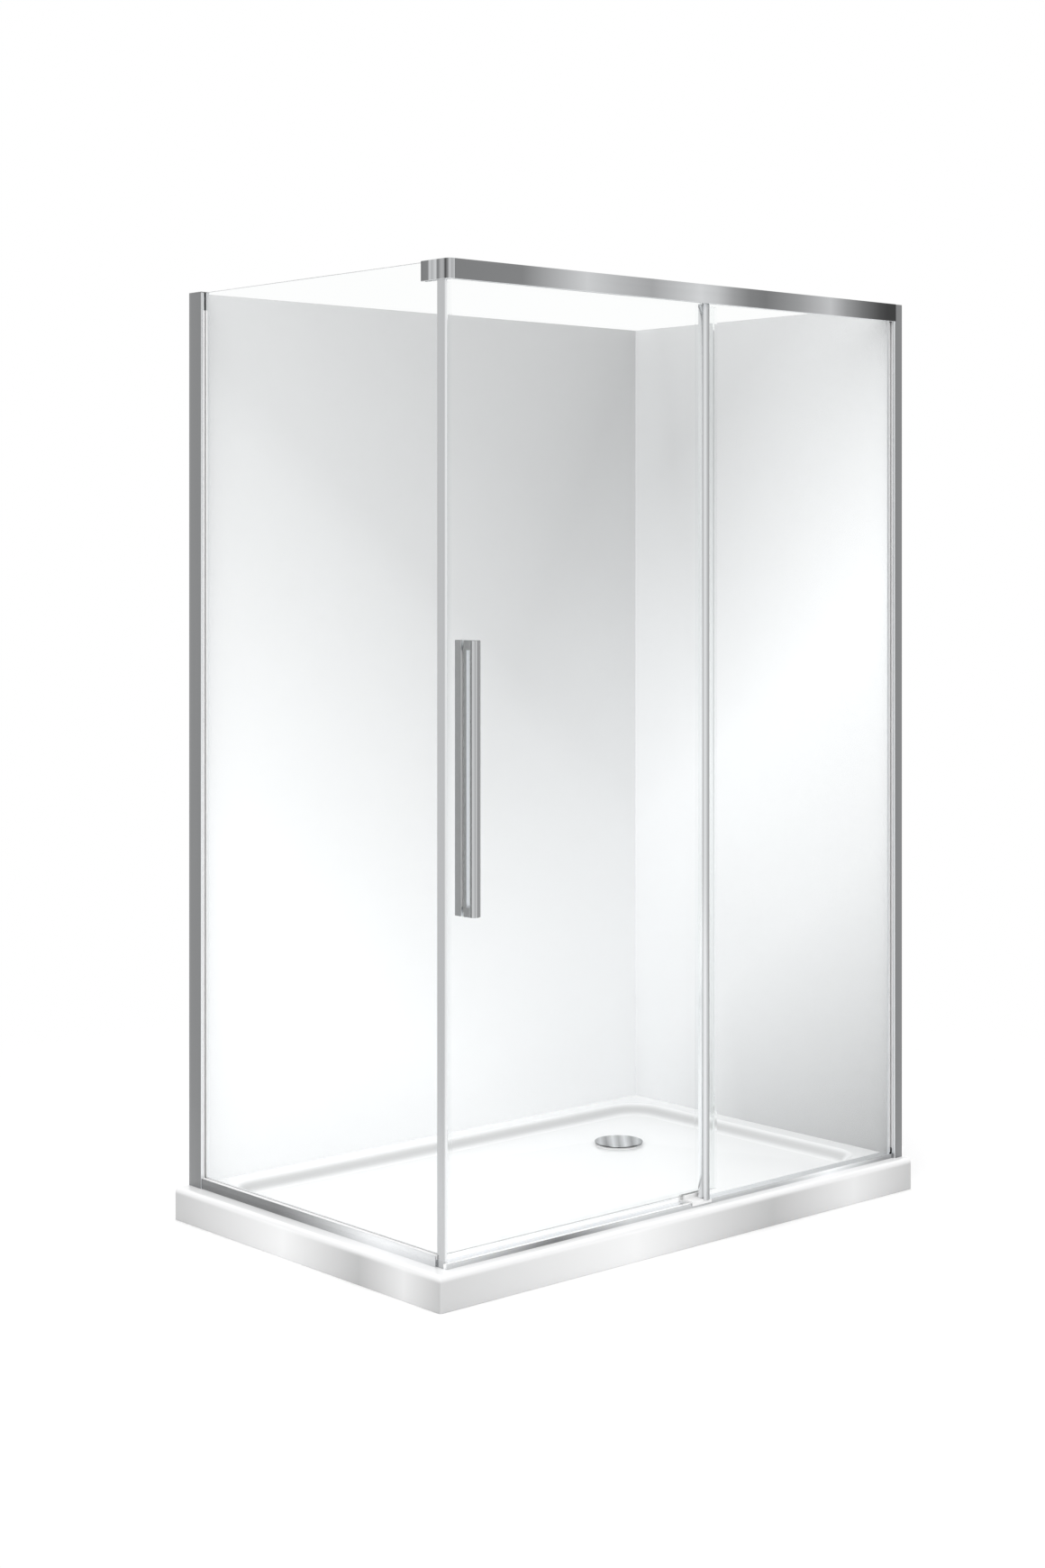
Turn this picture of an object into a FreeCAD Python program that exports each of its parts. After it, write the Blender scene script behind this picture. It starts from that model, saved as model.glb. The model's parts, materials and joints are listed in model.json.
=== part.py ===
"""Two-sided shower enclosure with a top-hung sliding door on a low tray.

Sizes are in millimetres. While it is modelled, X runs along the door side from the
tray's free front corner to the right-hand wall, Y runs along the return panel from
that corner to the back wall, and Z is up from the floor. Every piece is moved at the
end so that the origin is the middle of the tray's underside.
"""
import FreeCAD, Part
import math
import os

V = FreeCAD.Vector
ALONG_X = V(1, 0, 0)
ALONG_Y = V(0, 1, 0)
UP = V(0, 0, 1)

# ---------------------------------------------------------------- driving sizes
# Tray
TRAY_WIDTH = 1400.0          # along the door side
TRAY_DEPTH = 900.0           # along the return panel
TRAY_HEIGHT = 70.0
TRAY_SKIN = 5.0              # reinforced acrylic
TRAY_EDGE_RADIUS = 10.0      # soft roll along the two free top edges
TRAY_CORNER_RADIUS = 6.0     # free vertical corner
RIM_FRONT = 84.0             # flat rim under the door side
RIM_RETURN = 70.0            # flat rim under the return panel
RIM_WALL = 48.0              # flat rim along both walls
BASIN_DEPTH = 24.0
BASIN_CORNER_RADIUS = 90.0
RIM_ROLL_RADIUS = 12.0       # rim into the basin wall
COVE_RADIUS = 20.0           # basin wall into the floor
BASIN_SLOPE = math.radians(45)
FLOOR_FALL = 5.0             # fall of the floor to the waste
FALL_MARGIN = 20.0           # level strip between the cove and the fall
UPSTAND_HEIGHT = 25.0        # lip against the walls
UPSTAND_THICKNESS = 3.0
UPSTAND_LAP = 26.0           # foot of each liner, relieved where it laps the lip
UPSTAND_LAP_GAP = 0.3
CORE_CLEARANCE = 0.3         # bonded core inside the skin
TRAP_ACCESS = 15.0           # opening in the core round the waste's back nut

# Waste, placed from the two walls
WASTE_FROM_SIDE_WALL = 317.0
WASTE_FROM_BACK_WALL = 267.0
WASTE_SEAT = 62.0            # half of the level square round the waste
FLANGE_RADIUS = 55.0
FLANGE_THICKNESS = 2.0
CUP_RADIUS = 42.0            # drops through the tray from above
CUP_CLEARANCE = 1.0
CUP_WALL = 3.5
CUP_DEPTH = 31.0
CUP_FLOOR = 3.0
OUTLET_RADIUS = 20.0
BACK_NUT_RADIUS = 54.0       # over its corners
BACK_NUT_SIDES = 8
BACK_NUT_THICKNESS = 8.0
THREAD_CLEARANCE = 0.1
GRATE_THICKNESS = 2.5
GRATE_CLEARANCE = 0.4
GRATE_SLOTS = 6
GRATE_SLOT_WIDTH = 6.0
GRATE_SLOT_INNER = 9.0
GRATE_SLOT_OUTER = 29.0
GRATE_LEG_LENGTH = 12.0
GRATE_LEG_OUT = 33.0         # legs from the middle of the waste
COVER_RADIUS = 57.5
COVER_THICKNESS = 2.4
COVER_GAP = 3.0              # water gap over the flange
COVER_FOOT_OUT = 46.0
FEET = 4                     # under the cover and under the grate
FOOT_SIZE = 5.0

# Walls and frame
FRAME_TOP = 2020.0           # top of liners, wall profiles, rail and bracket
LINER_THICKNESS = 5.0
GLASS = 6.0
GLASS_ARRIS = 0.8
RETURN_GLASS_X = 46.0        # middle of the return pane
FIXED_GLASS_Y = 36.0         # middle of the fixed pane
PANE_GAP = 18.0              # between the fixed pane and the door
BUTT_GAP = 0.3               # where rigid pieces meet end to end
SEAL_GAP = 0.3               # a seal beside what it wipes

# Wall profiles: a cover profile telescopes over a channel on the wall
PROFILE_WIDTH = 24.0
PROFILE_WALL = 1.8
PROFILE_EDGE_RADIUS = 1.0
PROFILE_LIP = 6.0
PROFILE_POCKET = 14.0        # lip to web, holds the pane
RETURN_PROFILE_DEPTH = 45.0
JAMB_PROFILE_DEPTH = 25.0
WALL_CHANNEL_WEB = 3.0
WALL_CHANNEL_CLEARANCE = 0.2
WALL_SCREW_RADIUS = 2.75
WALL_SCREW_FROM_END = 300.0
END_CAP = 1.5                # cap on top of each wall profile
PANE_INTO_PROFILE = 9.0

# Glazing gaskets
GASKET_CLEARANCE = 0.1
GASKET_PROUD = 1.2           # stands out of the lips
GASKET_BARB = 2.2            # hooks behind the lip
GASKET_LENGTH = 5.2          # from the lip into the pocket
CHANNEL_GASKET_DEPTH = 8.0

# Bottom channel of the return pane
CHANNEL_WIDTH = 20.0
CHANNEL_HEIGHT = 22.0
CHANNEL_WALL = 2.0
CHANNEL_WEB = 3.0
SETTING_BLOCK = 3.0          # packer under a pane
SETTING_BLOCK_LENGTH = 60.0

# Free edge of the return pane
RETURN_FREE_EDGE_Y = 41.3    # free edge of the glass itself
EDGE_PROFILE_LEG = 18.5
EDGE_PROFILE_WALL = 1.8
EDGE_PROFILE_RADIUS = 1.2
EDGE_SLOT_CLEARANCE = 0.2
STRIKE_WIDTH = 10.0
STRIKE_THICKNESS = 5.5
STRIKE_MARGIN = 1.0          # leg past the strike seal
STRIKE_ABOVE_CHANNEL = 2.0

# Head rail
RAIL_FRONT_Y = 20.0
RAIL_DEPTH = 54.0
RAIL_HEIGHT = 40.0
RAIL_WALL = 2.5
RAIL_EDGE_RADIUS = 1.5
RAIL_POCKET_WIDTH = 12.0
RAIL_POCKET_DEPTH = 23.5
RAIL_SHELF_DROP = 32.5       # top of the roller shelf below the rail's top
RAIL_SHELF_WIDTH = 8.2
RAIL_RIB_WIDTH = 2.0
RAIL_RIB_HEIGHT = 4.5
RAIL_RIB_FROM_WALL = 4.6     # middle of the running rib from the track wall
RAIL_SKIRT_DROP = 25.0
RAIL_INFILL_HEIGHT = 3.0
RAIL_INFILL_CLEARANCE = 0.2
SPIGOT_LENGTH = 29.0
SPIGOT_CLEARANCE = 0.2
STOP_LENGTH = 17.0
STOP_HEIGHT = 19.0
BUFFER_THICKNESS = 3.0
BUFFER_INSET = 1.0

# Corner bracket
BRACKET_OUTER_LEG = 4.7
BRACKET_INNER_LEG = 3.9
BRACKET_LEG_END_Y = 105.0
BRACKET_CORNER_RADIUS = 13.0
BRACKET_EDGE_RADIUS = 1.5
BRACKET_REVEAL = 0.6         # shadow gap before the rail
BRACKET_SLOT_CLEARANCE = 0.3
BRACKET_PAD = 1.5
BRACKET_PAD_HEIGHT = 26.0
BRACKET_SCREW_INSET = 16.0   # from the end of the leg
GRUB_SCREW_RADIUS = 2.5
SCREW_CLEARANCE = 0.1

# Fixed pane
FIXED_PANE_BELOW_POCKET = 2.0
BAR_WIDTH = 22.0             # upright bar on its free edge
BAR_BULGE = 8.0              # half-round front
BAR_BACK = 10.0
BAR_FRONT_Y = 26.0
BAR_SLOT_DEPTH = 10.0
FIN_BASE = 2.0
FIN_BASE_WIDTH = 8.0
FIN_THICKNESS = 1.2
FIN_GAP = 0.6
FIN_INSET = 1.0

# Sill
SILL_FRONT_Y = 30.0
SILL_DEPTH = 38.0
SILL_HEIGHT = 10.0
SILL_WALL = 2.3
SILL_BASE = 2.5
SILL_REAR_HEIGHT = 8.0
SILL_NOSE_HEIGHT = 4.0
SILL_NOSE_DEPTH = 5.0
SILL_EDGE_RADIUS = 0.8
SILL_INFILL_DROP = 0.4

# Floor guide
GUIDE_BEFORE_BAR = 34.0
GUIDE_LENGTH = 58.0
GUIDE_HEIGHT = 14.0          # above the rear of the sill
GUIDE_SLOT = 9.6
GUIDE_APRON = 2.0
GUIDE_APRON_DROP = 5.5
GUIDE_SHOULDER = 4.0
GUIDE_CHEEK = 4.2
GUIDE_BASE = 2.2
GUIDE_EDGE_RADIUS = 1.0

# Door
DOOR_LEADING_X = 66.0        # leading edge of the glass, door closed
DOOR_OVERLAP = 62.0          # closed door past the near side of the upright bar
DOOR_BOTTOM_Z = 90.0
DOOR_TOP_BELOW_FRAME = 10.0
CLIP_WALL = 1.3              # seal clips on the glass
CLIP_CLEARANCE = 0.1
LEADING_SEAL_LEG = 10.0
TRAILING_SEAL_HEAD = 5.8
TRAILING_SEAL_LEG = 12.0
BOTTOM_SEAL_LEG = 10.0
WIPER_THICKNESS = 2.4
SEAL_BELOW_RAIL = 2.0

# Door hangers and rollers
HANGER_INSET = 75.0          # from the door's vertical edges
HANGER_LENGTH = 44.0
HANGER_REAR_CHEEK = 3.5
HANGER_BRIDGE = 3.0
HANGER_REACH = 22.0          # down the glass
HANGER_LINER = 0.8
HANGER_TOP_LINER = 0.5
HANGER_PAD = 2.0
HANGER_PAD_CLEARANCE = 0.5
HANGER_SCREW_DROP = 12.0     # below the glass's top edge
WHEEL_RADIUS = 13.0
TREAD_RADIUS = 10.0
WHEEL_WIDTH = 7.0
GROOVE_WIDTH = 2.8
WHEEL_RIB_GAP = 0.3
WHEEL_TO_HANGER = 0.5
AXLE_RADIUS = 3.0
AXLE_CLEARANCE = 0.05
AXLE_HEAD_RADIUS = 4.5
AXLE_HEAD = 0.65

# Handles
HANDLE_X = 106.0
HANDLE_WIDTH = 22.0
HANDLE_BOTTOM_Z = 741.0
HANDLE_LENGTH = 540.0
HANDLE_BASE = 9.0
HANDLE_FINGER_GAP = 10.3
HANDLE_GRIP = 9.7
HANDLE_BRIDGE = 19.0
HANDLE_GRIP_BULGE = 2.5
HANDLE_EDGE_RADIUS = 1.2
HANDLE_GASKET = 1.0
HANDLE_GASKET_INSET = 1.0
INNER_PULL_DEPTH = 19.4
INNER_PULL_WALL = 2.5
INNER_PULL_WEB = 3.0
STUD_RADIUS = 6.0            # with its clear sleeve
STUD_INTO_HANDLE = 10.0
STUD_CLEARANCE = 0.8         # in the glass

OVERCUT = 5.0                # how far cutting tools run past a face
NEAR = 1.0                   # for picking edges by their place

# ---------------------------------------------------------------- derived planes
RIM_Z = TRAY_HEIGHT
FLOOR_Z = TRAY_HEIGHT - BASIN_DEPTH
SEAT_Z = FLOOR_Z - FLOOR_FALL
FLANGE_TOP_Z = SEAT_Z + FLANGE_THICKNESS
WASTE_X = TRAY_WIDTH - WASTE_FROM_SIDE_WALL
WASTE_Y = TRAY_DEPTH - WASTE_FROM_BACK_WALL
SLOPE_DROP = BASIN_DEPTH - (RIM_ROLL_RADIUS + COVE_RADIUS) * (1 - math.cos(BASIN_SLOPE))
BASIN_REACH = (RIM_ROLL_RADIUS + COVE_RADIUS) * math.sin(BASIN_SLOPE) + SLOPE_DROP / math.tan(BASIN_SLOPE)
WALL_X = TRAY_WIDTH - UPSTAND_THICKNESS
WALL_Y = TRAY_DEPTH - UPSTAND_THICKNESS
LINER_X = WALL_X - LINER_THICKNESS
LINER_Y = WALL_Y - LINER_THICKNESS
JAMB_X = WALL_X - JAMB_PROFILE_DEPTH
RETURN_PROFILE_Y = WALL_Y - RETURN_PROFILE_DEPTH
RETURN_OUT_X = RETURN_GLASS_X - GLASS / 2
RETURN_IN_X = RETURN_GLASS_X + GLASS / 2
FIXED_FACE_Y = FIXED_GLASS_Y - GLASS / 2
FIXED_BACK_Y = FIXED_GLASS_Y + GLASS / 2
DOOR_GLASS_Y = FIXED_GLASS_Y + GLASS + PANE_GAP
DOOR_FACE_Y = DOOR_GLASS_Y - GLASS / 2
DOOR_BACK_Y = DOOR_GLASS_Y + GLASS / 2
DOOR_TOP_Z = FRAME_TOP - DOOR_TOP_BELOW_FRAME
CHANNEL_TOP_Z = RIM_Z + CHANNEL_HEIGHT
EDGE_PROFILE_FRONT_Y = RETURN_FREE_EDGE_Y - EDGE_SLOT_CLEARANCE - EDGE_PROFILE_WALL
EDGE_PROFILE_END_Y = EDGE_PROFILE_FRONT_Y + EDGE_PROFILE_LEG
EDGE_PROFILE_OUT_X = RETURN_OUT_X - EDGE_SLOT_CLEARANCE - EDGE_PROFILE_WALL
STRIKE_X = RETURN_IN_X + EDGE_SLOT_CLEARANCE + EDGE_PROFILE_WALL
RAIL_Z = FRAME_TOP - RAIL_HEIGHT
RAIL_BACK_Y = RAIL_FRONT_Y + RAIL_DEPTH
POCKET_Y = FIXED_GLASS_Y - RAIL_POCKET_WIDTH / 2
POCKET_BACK_Y = FIXED_GLASS_Y + RAIL_POCKET_WIDTH / 2
POCKET_TOP_Z = RAIL_Z + RAIL_POCKET_DEPTH
TRACK_WALL_Y = POCKET_BACK_Y + RAIL_WALL
CHAMBER_Z = POCKET_TOP_Z + RAIL_WALL
WEB_Z = FRAME_TOP - RAIL_WALL
SHELF_Z = FRAME_TOP - RAIL_SHELF_DROP
SHELF_UNDER_Z = SHELF_Z - RAIL_WALL
RIB_Y = TRACK_WALL_Y + RAIL_RIB_FROM_WALL
RIB_TOP_Z = SHELF_Z + RAIL_RIB_HEIGHT
BRACKET_SLOT_X = RETURN_IN_X + BRACKET_PAD + SCREW_CLEARANCE
BRACKET_IN_X = BRACKET_SLOT_X + BRACKET_INNER_LEG
BRACKET_OUT_X = RETURN_OUT_X - BRACKET_SLOT_CLEARANCE - BRACKET_OUTER_LEG
RAIL_START_X = BRACKET_IN_X + BRACKET_REVEAL
RAIL_END_X = JAMB_X - BUTT_GAP
RAIL_REAR_END_X = LINER_X - BUTT_GAP
LINER_FRONT_Y = FIXED_GLASS_Y + PROFILE_WIDTH / 2 + BUTT_GAP
SILL_TOP_Z = RIM_Z + SILL_HEIGHT
SILL_REAR_TOP_Z = RIM_Z + SILL_REAR_HEIGHT
SILL_BACK_Y = SILL_FRONT_Y + SILL_DEPTH
SILL_POCKET_Y = SILL_FRONT_Y + SILL_WALL
SILL_POCKET_BACK_Y = 2 * FIXED_GLASS_Y - SILL_POCKET_Y
BAR_X = (HANDLE_X + HANDLE_WIDTH + JAMB_X) / 2    # midway, so that the open handle stops short of it
GUIDE_X = BAR_X - GUIDE_BEFORE_BAR
DOOR_TRAILING_X = BAR_X + DOOR_OVERLAP
DOOR_TRAVEL = JAMB_X - DOOR_TRAILING_X            # until the door's glass reaches the jamb's face
BAR_SLOT_X = BAR_X + BAR_WIDTH - BAR_SLOT_DEPTH
FIXED_PANE_X = BAR_SLOT_X + BUTT_GAP
WHEEL_Z = RIB_TOP_Z + WHEEL_RIB_GAP + TREAD_RADIUS
WHEEL_FRONT_Y = RIB_Y - WHEEL_WIDTH / 2
WHEEL_BACK_Y = RIB_Y + WHEEL_WIDTH / 2
HANGER_Y = WHEEL_BACK_Y + WHEEL_TO_HANGER
HANGER_XS = (DOOR_LEADING_X + HANGER_INSET, DOOR_TRAILING_X - HANGER_INSET)
HANDLE_MID_X = HANDLE_X + HANDLE_WIDTH / 2
HANDLE_TOP_Z = HANDLE_BOTTOM_Z + HANDLE_LENGTH
STUD_ZS = (HANDLE_BOTTOM_Z + HANDLE_BRIDGE / 2, HANDLE_TOP_Z - HANDLE_BRIDGE / 2)

MODEL = {}


# ---------------------------------------------------------------- shape helpers
def outline(corners, place):
    """Closed wire through (a, b) or (a, b, radius) corners, rounded where a radius is given."""
    stretches = []
    for i, corner in enumerate(corners):
        here = V(corner[0], corner[1], 0)
        radius = corner[2] if len(corner) > 2 else 0
        if not radius:
            stretches.append((here, None, here))
            continue
        before = corners[i - 1]
        after = corners[(i + 1) % len(corners)]
        back = V(before[0], before[1], 0).sub(here).normalize()
        ahead = V(after[0], after[1], 0).sub(here).normalize()
        half = back.getAngle(ahead) / 2
        reach = radius / math.tan(half)
        inward = radius / math.sin(half) - radius
        middle = here.add(back.add(ahead).normalize().multiply(inward))
        stretches.append((here.add(back.multiply(reach)), middle, here.add(ahead.multiply(reach))))
    edges = []
    for i, (start, middle, stop) in enumerate(stretches):
        if middle is not None:
            points = [place(p.x, p.y) for p in (start, middle, stop)]
            edges.append(Part.Arc(*points).toShape())
        following = stretches[(i + 1) % len(stretches)][0]
        if stop.distanceToPoint(following) > 1e-6:
            ends = [place(p.x, p.y) for p in (stop, following)]
            edges.append(Part.LineSegment(*ends).toShape())
    return Part.Wire(edges)


def extrude(loops, place, along):
    """Extrude an outline, less the outlines after it, by the vector `along`."""
    wires = [outline(loop, place) for loop in loops]
    return Part.makeFace(wires, "Part::FaceMakerBullseye").extrude(along)


def run_x(corners, x0, x1, *holes):
    """Y-Z section along X."""
    return extrude((corners,) + holes, lambda a, b: V(x0, a, b), V(x1 - x0, 0, 0))


def run_y(corners, y0, y1):
    """X-Z section along Y."""
    return extrude((corners,), lambda a, b: V(a, y0, b), V(0, y1 - y0, 0))


def run_z(corners, z0, z1):
    """X-Y section along Z."""
    return extrude((corners,), lambda a, b: V(a, b, z0), V(0, 0, z1 - z0))


def rectangle(a0, a1, b0, b1, radius=0):
    return [(a0, b0, radius), (a1, b0, radius), (a1, b1, radius), (a0, b1, radius)]


def box(x0, x1, y0, y1, z0, z1):
    return Part.makeBox(x1 - x0, y1 - y0, z1 - z0, V(x0, y0, z0))


def rod(start, axis, radius, length):
    return Part.makeCylinder(radius, length, start, axis)


def frustum(high, top, low, bottom):
    """Block with four sloping sides between two (x0, x1, y0, y1) rectangles."""
    rings = []
    for (x0, x1, y0, y1), z in ((high, top), (low, bottom)):
        rings.append([V(x0, y0, z), V(x1, y0, z), V(x1, y1, z), V(x0, y1, z)])
    upper, lower = rings
    loops = [upper, lower]
    for i in range(4):
        j = (i + 1) % 4
        loops.append([upper[i], upper[j], lower[j], lower[i]])
    return Part.makeSolid(Part.makeShell([Part.Face(Part.makePolygon(loop + loop[:1])) for loop in loops]))


def spin(corners, centre, axis, place):
    """Revolve a closed outline once round an axis."""
    return Part.Face(outline(corners, place)).revolve(centre, axis, 360)


def pane(x0, x1, y0, y1, z0, z1):
    """Toughened glass with its edges arrised."""
    sheet = box(x0, x1, y0, y1, z0, z1)
    return sheet.makeChamfer(GLASS_ARRIS, sheet.Edges)


def keep(name, *solids):
    """Put the solids of one node into the model."""
    MODEL[name] = solids


# ---------------------------------------------------------------- tray
def wet_edge(place):
    """Section of the basin's edge seen from inside: roll, slope and cove."""
    above = RIM_Z + OVERCUT
    inner = BASIN_REACH + OVERCUT

    def on_roll(angle):
        drop = RIM_ROLL_RADIUS * (1 - math.cos(angle))
        return place(RIM_ROLL_RADIUS * math.sin(angle), RIM_Z - drop)

    def on_cove(angle):
        rise = COVE_RADIUS * (1 - math.cos(angle))
        return place(BASIN_REACH - COVE_RADIUS * math.sin(angle), FLOOR_Z + rise)

    half = BASIN_SLOPE / 2
    return Part.Face(Part.Wire([
        Part.LineSegment(place(0, above), on_roll(0)).toShape(),
        Part.Arc(on_roll(0), on_roll(half), on_roll(BASIN_SLOPE)).toShape(),
        Part.LineSegment(on_roll(BASIN_SLOPE), on_cove(BASIN_SLOPE)).toShape(),
        Part.Arc(on_cove(BASIN_SLOPE), on_cove(half), on_cove(0)).toShape(),
        Part.LineSegment(on_cove(0), place(inner, FLOOR_Z)).toShape(),
        Part.LineSegment(place(inner, FLOOR_Z), place(inner, above)).toShape(),
        Part.LineSegment(place(inner, above), place(0, above)).toShape()]))


def inside_basin(inset):
    """Plan rectangle this far inside the basin's edge."""
    return (RIM_RETURN + inset, TRAY_WIDTH - RIM_WALL - inset,
            RIM_FRONT + inset, TRAY_DEPTH - RIM_WALL - inset)


def fall(top):
    """Four flat falls down to the level square at the waste."""
    seat = (WASTE_X - WASTE_SEAT, WASTE_X + WASTE_SEAT, WASTE_Y - WASTE_SEAT, WASTE_Y + WASTE_SEAT)
    return frustum(inside_basin(BASIN_REACH + FALL_MARGIN), top, seat, top - FLOOR_FALL)


def basin():
    """What the basin removes: its edge section carried round the plan, then the middle."""
    x0, x1, y0, y1 = inside_basin(0)
    turn = BASIN_CORNER_RADIUS
    long_run = V(x1 - x0 - 2 * turn, 0, 0)
    short_run = V(0, y1 - y0 - 2 * turn, 0)
    pieces = [
        wet_edge(lambda a, z: V(x0 + turn, y0 + a, z)).extrude(long_run),
        wet_edge(lambda a, z: V(x0 + turn, y1 - a, z)).extrude(long_run),
        wet_edge(lambda a, z: V(x0 + a, y0 + turn, z)).extrude(short_run),
        wet_edge(lambda a, z: V(x1 - a, y0 + turn, z)).extrude(short_run)]
    for x, y, start in ((x1 - turn, y0 + turn, -90), (x1 - turn, y1 - turn, 0),
                        (x0 + turn, y1 - turn, 90), (x0 + turn, y0 + turn, 180)):
        corner = wet_edge(lambda a, z: V(x + turn - a, y, z))
        corner.rotate(V(x, y, 0), UP, start)
        pieces.append(corner.revolve(V(x, y, 0), UP, 90))
    inset = BASIN_REACH + OVERCUT / 2
    middle = inside_basin(inset)
    pieces.append(run_z(rectangle(*middle, turn - inset), FLOOR_Z, RIM_Z + OVERCUT))
    pieces.append(fall(FLOOR_Z))
    return pieces[0].multiFuse(pieces[1:]).removeSplitter()


def basin_underside():
    """The basin from below, one skin outside its slope."""
    level = RIM_Z - RIM_ROLL_RADIUS * (1 - math.cos(BASIN_SLOPE))
    along = RIM_ROLL_RADIUS * math.sin(BASIN_SLOPE) - TRAY_SKIN / math.sin(BASIN_SLOPE)
    bottom = FLOOR_Z - TRAY_SKIN
    inset = along + (level - bottom) / math.tan(BASIN_SLOPE)
    slopes = frustum(inside_basin(along), level, inside_basin(inset), bottom)
    return slopes.fuse(fall(bottom)).removeSplitter()


def tray():
    block = box(0, TRAY_WIDTH, 0, TRAY_DEPTH, 0, RIM_Z)
    corner = [e for e in block.Edges if e.BoundBox.XMax < NEAR and e.BoundBox.YMax < NEAR]
    block = block.makeFillet(TRAY_CORNER_RADIUS, corner)
    top = [e for e in block.Edges if e.BoundBox.ZMin > RIM_Z - NEAR]
    free = [e for e in top if e.BoundBox.YMax < TRAY_DEPTH / 2 or e.BoundBox.XMax < TRAY_WIDTH / 2]
    block = block.makeFillet(TRAY_EDGE_RADIUS, free)
    side_lip = box(WALL_X, TRAY_WIDTH, FIXED_GLASS_Y - PROFILE_WIDTH / 2, TRAY_DEPTH,
                   RIM_Z, RIM_Z + UPSTAND_HEIGHT)
    back_lip = box(RETURN_GLASS_X - PROFILE_WIDTH / 2, TRAY_WIDTH, WALL_Y, TRAY_DEPTH,
                   RIM_Z, RIM_Z + UPSTAND_HEIGHT)
    hollow = box(TRAY_SKIN, TRAY_WIDTH - TRAY_SKIN, TRAY_SKIN, TRAY_DEPTH - TRAY_SKIN,
                 -OVERCUT, RIM_Z - TRAY_SKIN)
    waste_hole = rod(V(WASTE_X, WASTE_Y, 0), UP, CUP_RADIUS + CUP_CLEARANCE, RIM_Z)
    shell = block.fuse(side_lip).fuse(back_lip).cut(hollow.cut(basin_underside()))
    keep("tray_shell", shell.cut(basin()).cut(waste_hole).removeSplitter())

    inset = TRAY_SKIN + CORE_CLEARANCE
    core = box(inset, TRAY_WIDTH - inset, inset, TRAY_DEPTH - inset, 0, RIM_Z - inset)
    under_basin = box(*inside_basin(0), SEAT_Z - inset, RIM_Z)
    half = BACK_NUT_RADIUS + TRAP_ACCESS
    trap_access = box(WASTE_X - half, WASTE_X + half, WASTE_Y - half, WASTE_Y + half, 0, RIM_Z)
    keep("tray_core", core.cut(under_basin).cut(trap_access))


# ---------------------------------------------------------------- waste
def round_waste(block, count):
    """Copies of a block set evenly round the waste's axis."""
    copies = []
    for i in range(count):
        turned = block.copy()
        turned.rotate(V(WASTE_X, WASTE_Y, 0), UP, (i + 0.5) * 360 / count)
        copies.append(turned)
    return copies


def foot(out, z0, z1):
    half = FOOT_SIZE / 2
    return box(WASTE_X + out - half, WASTE_X + out + half, WASTE_Y - half, WASTE_Y + half, z0, z1)


def waste():
    """Flanged cup with its back nut; the cover and the hair grate lift out of it."""
    centre = V(WASTE_X, WASTE_Y, 0)
    bore = CUP_RADIUS - CUP_WALL
    bottom = SEAT_Z - CUP_DEPTH
    floor = bottom + CUP_FLOOR
    keep("waste_body", spin([
        (bore, FLANGE_TOP_Z), (FLANGE_RADIUS, FLANGE_TOP_Z), (FLANGE_RADIUS, SEAT_Z),
        (CUP_RADIUS, SEAT_Z), (CUP_RADIUS, bottom), (OUTLET_RADIUS, bottom), (OUTLET_RADIUS, floor),
        (bore, floor)], centre, UP, lambda a, b: V(WASTE_X + a, WASTE_Y, b)))

    nut_top = SEAT_Z - TRAY_SKIN
    rim = V(WASTE_X + BACK_NUT_RADIUS, WASTE_Y, nut_top - BACK_NUT_THICKNESS)
    corners = [rim]
    for i in range(1, BACK_NUT_SIDES):
        angle = 2 * math.pi * i / BACK_NUT_SIDES
        corners.append(V(WASTE_X + BACK_NUT_RADIUS * math.cos(angle),
                         WASTE_Y + BACK_NUT_RADIUS * math.sin(angle), rim.z))
    nut = Part.Face(Part.makePolygon(corners + [rim])).extrude(V(0, 0, BACK_NUT_THICKNESS))
    keep("waste_back_nut", nut.cut(rod(centre, UP, CUP_RADIUS + THREAD_CLEARANCE, nut_top)))

    grate_z = floor + GRATE_LEG_LENGTH
    grate = rod(V(WASTE_X, WASTE_Y, grate_z), UP, bore - GRATE_CLEARANCE, GRATE_THICKNESS)
    grate = grate.multiFuse(round_waste(foot(GRATE_LEG_OUT, floor, grate_z + GRATE_THICKNESS / 2), FEET))
    slot = box(WASTE_X + GRATE_SLOT_INNER, WASTE_X + GRATE_SLOT_OUTER,
               WASTE_Y - GRATE_SLOT_WIDTH / 2, WASTE_Y + GRATE_SLOT_WIDTH / 2, grate_z, FLOOR_Z)
    keep("waste_grate", grate.cut(Part.makeCompound(round_waste(slot, GRATE_SLOTS))))

    under = FLANGE_TOP_Z + COVER_GAP
    cover = rod(V(WASTE_X, WASTE_Y, under), UP, COVER_RADIUS, COVER_THICKNESS)
    feet = round_waste(foot(COVER_FOOT_OUT, FLANGE_TOP_Z, under + COVER_THICKNESS / 2), FEET)
    keep("waste_cover", cover.multiFuse(feet))


# ---------------------------------------------------------------- liners and wall profiles
def liner_section(wall):
    """Sheet against a wall, relieved at its foot where it laps the tray's lip."""
    face = wall - LINER_THICKNESS
    relief = wall - UPSTAND_LAP_GAP
    lap_z = RIM_Z + UPSTAND_LAP
    return [(face, RIM_Z), (relief, RIM_Z), (relief, lap_z), (wall, lap_z), (wall, FRAME_TOP), (face, FRAME_TOP)]


def liners():
    left = RETURN_GLASS_X + PROFILE_WIDTH / 2 + BUTT_GAP
    keep("side_wall_liner", run_y(liner_section(WALL_X), LINER_FRONT_Y, WALL_Y))
    keep("back_wall_liner", run_x(liner_section(WALL_Y), left, LINER_X))


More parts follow.
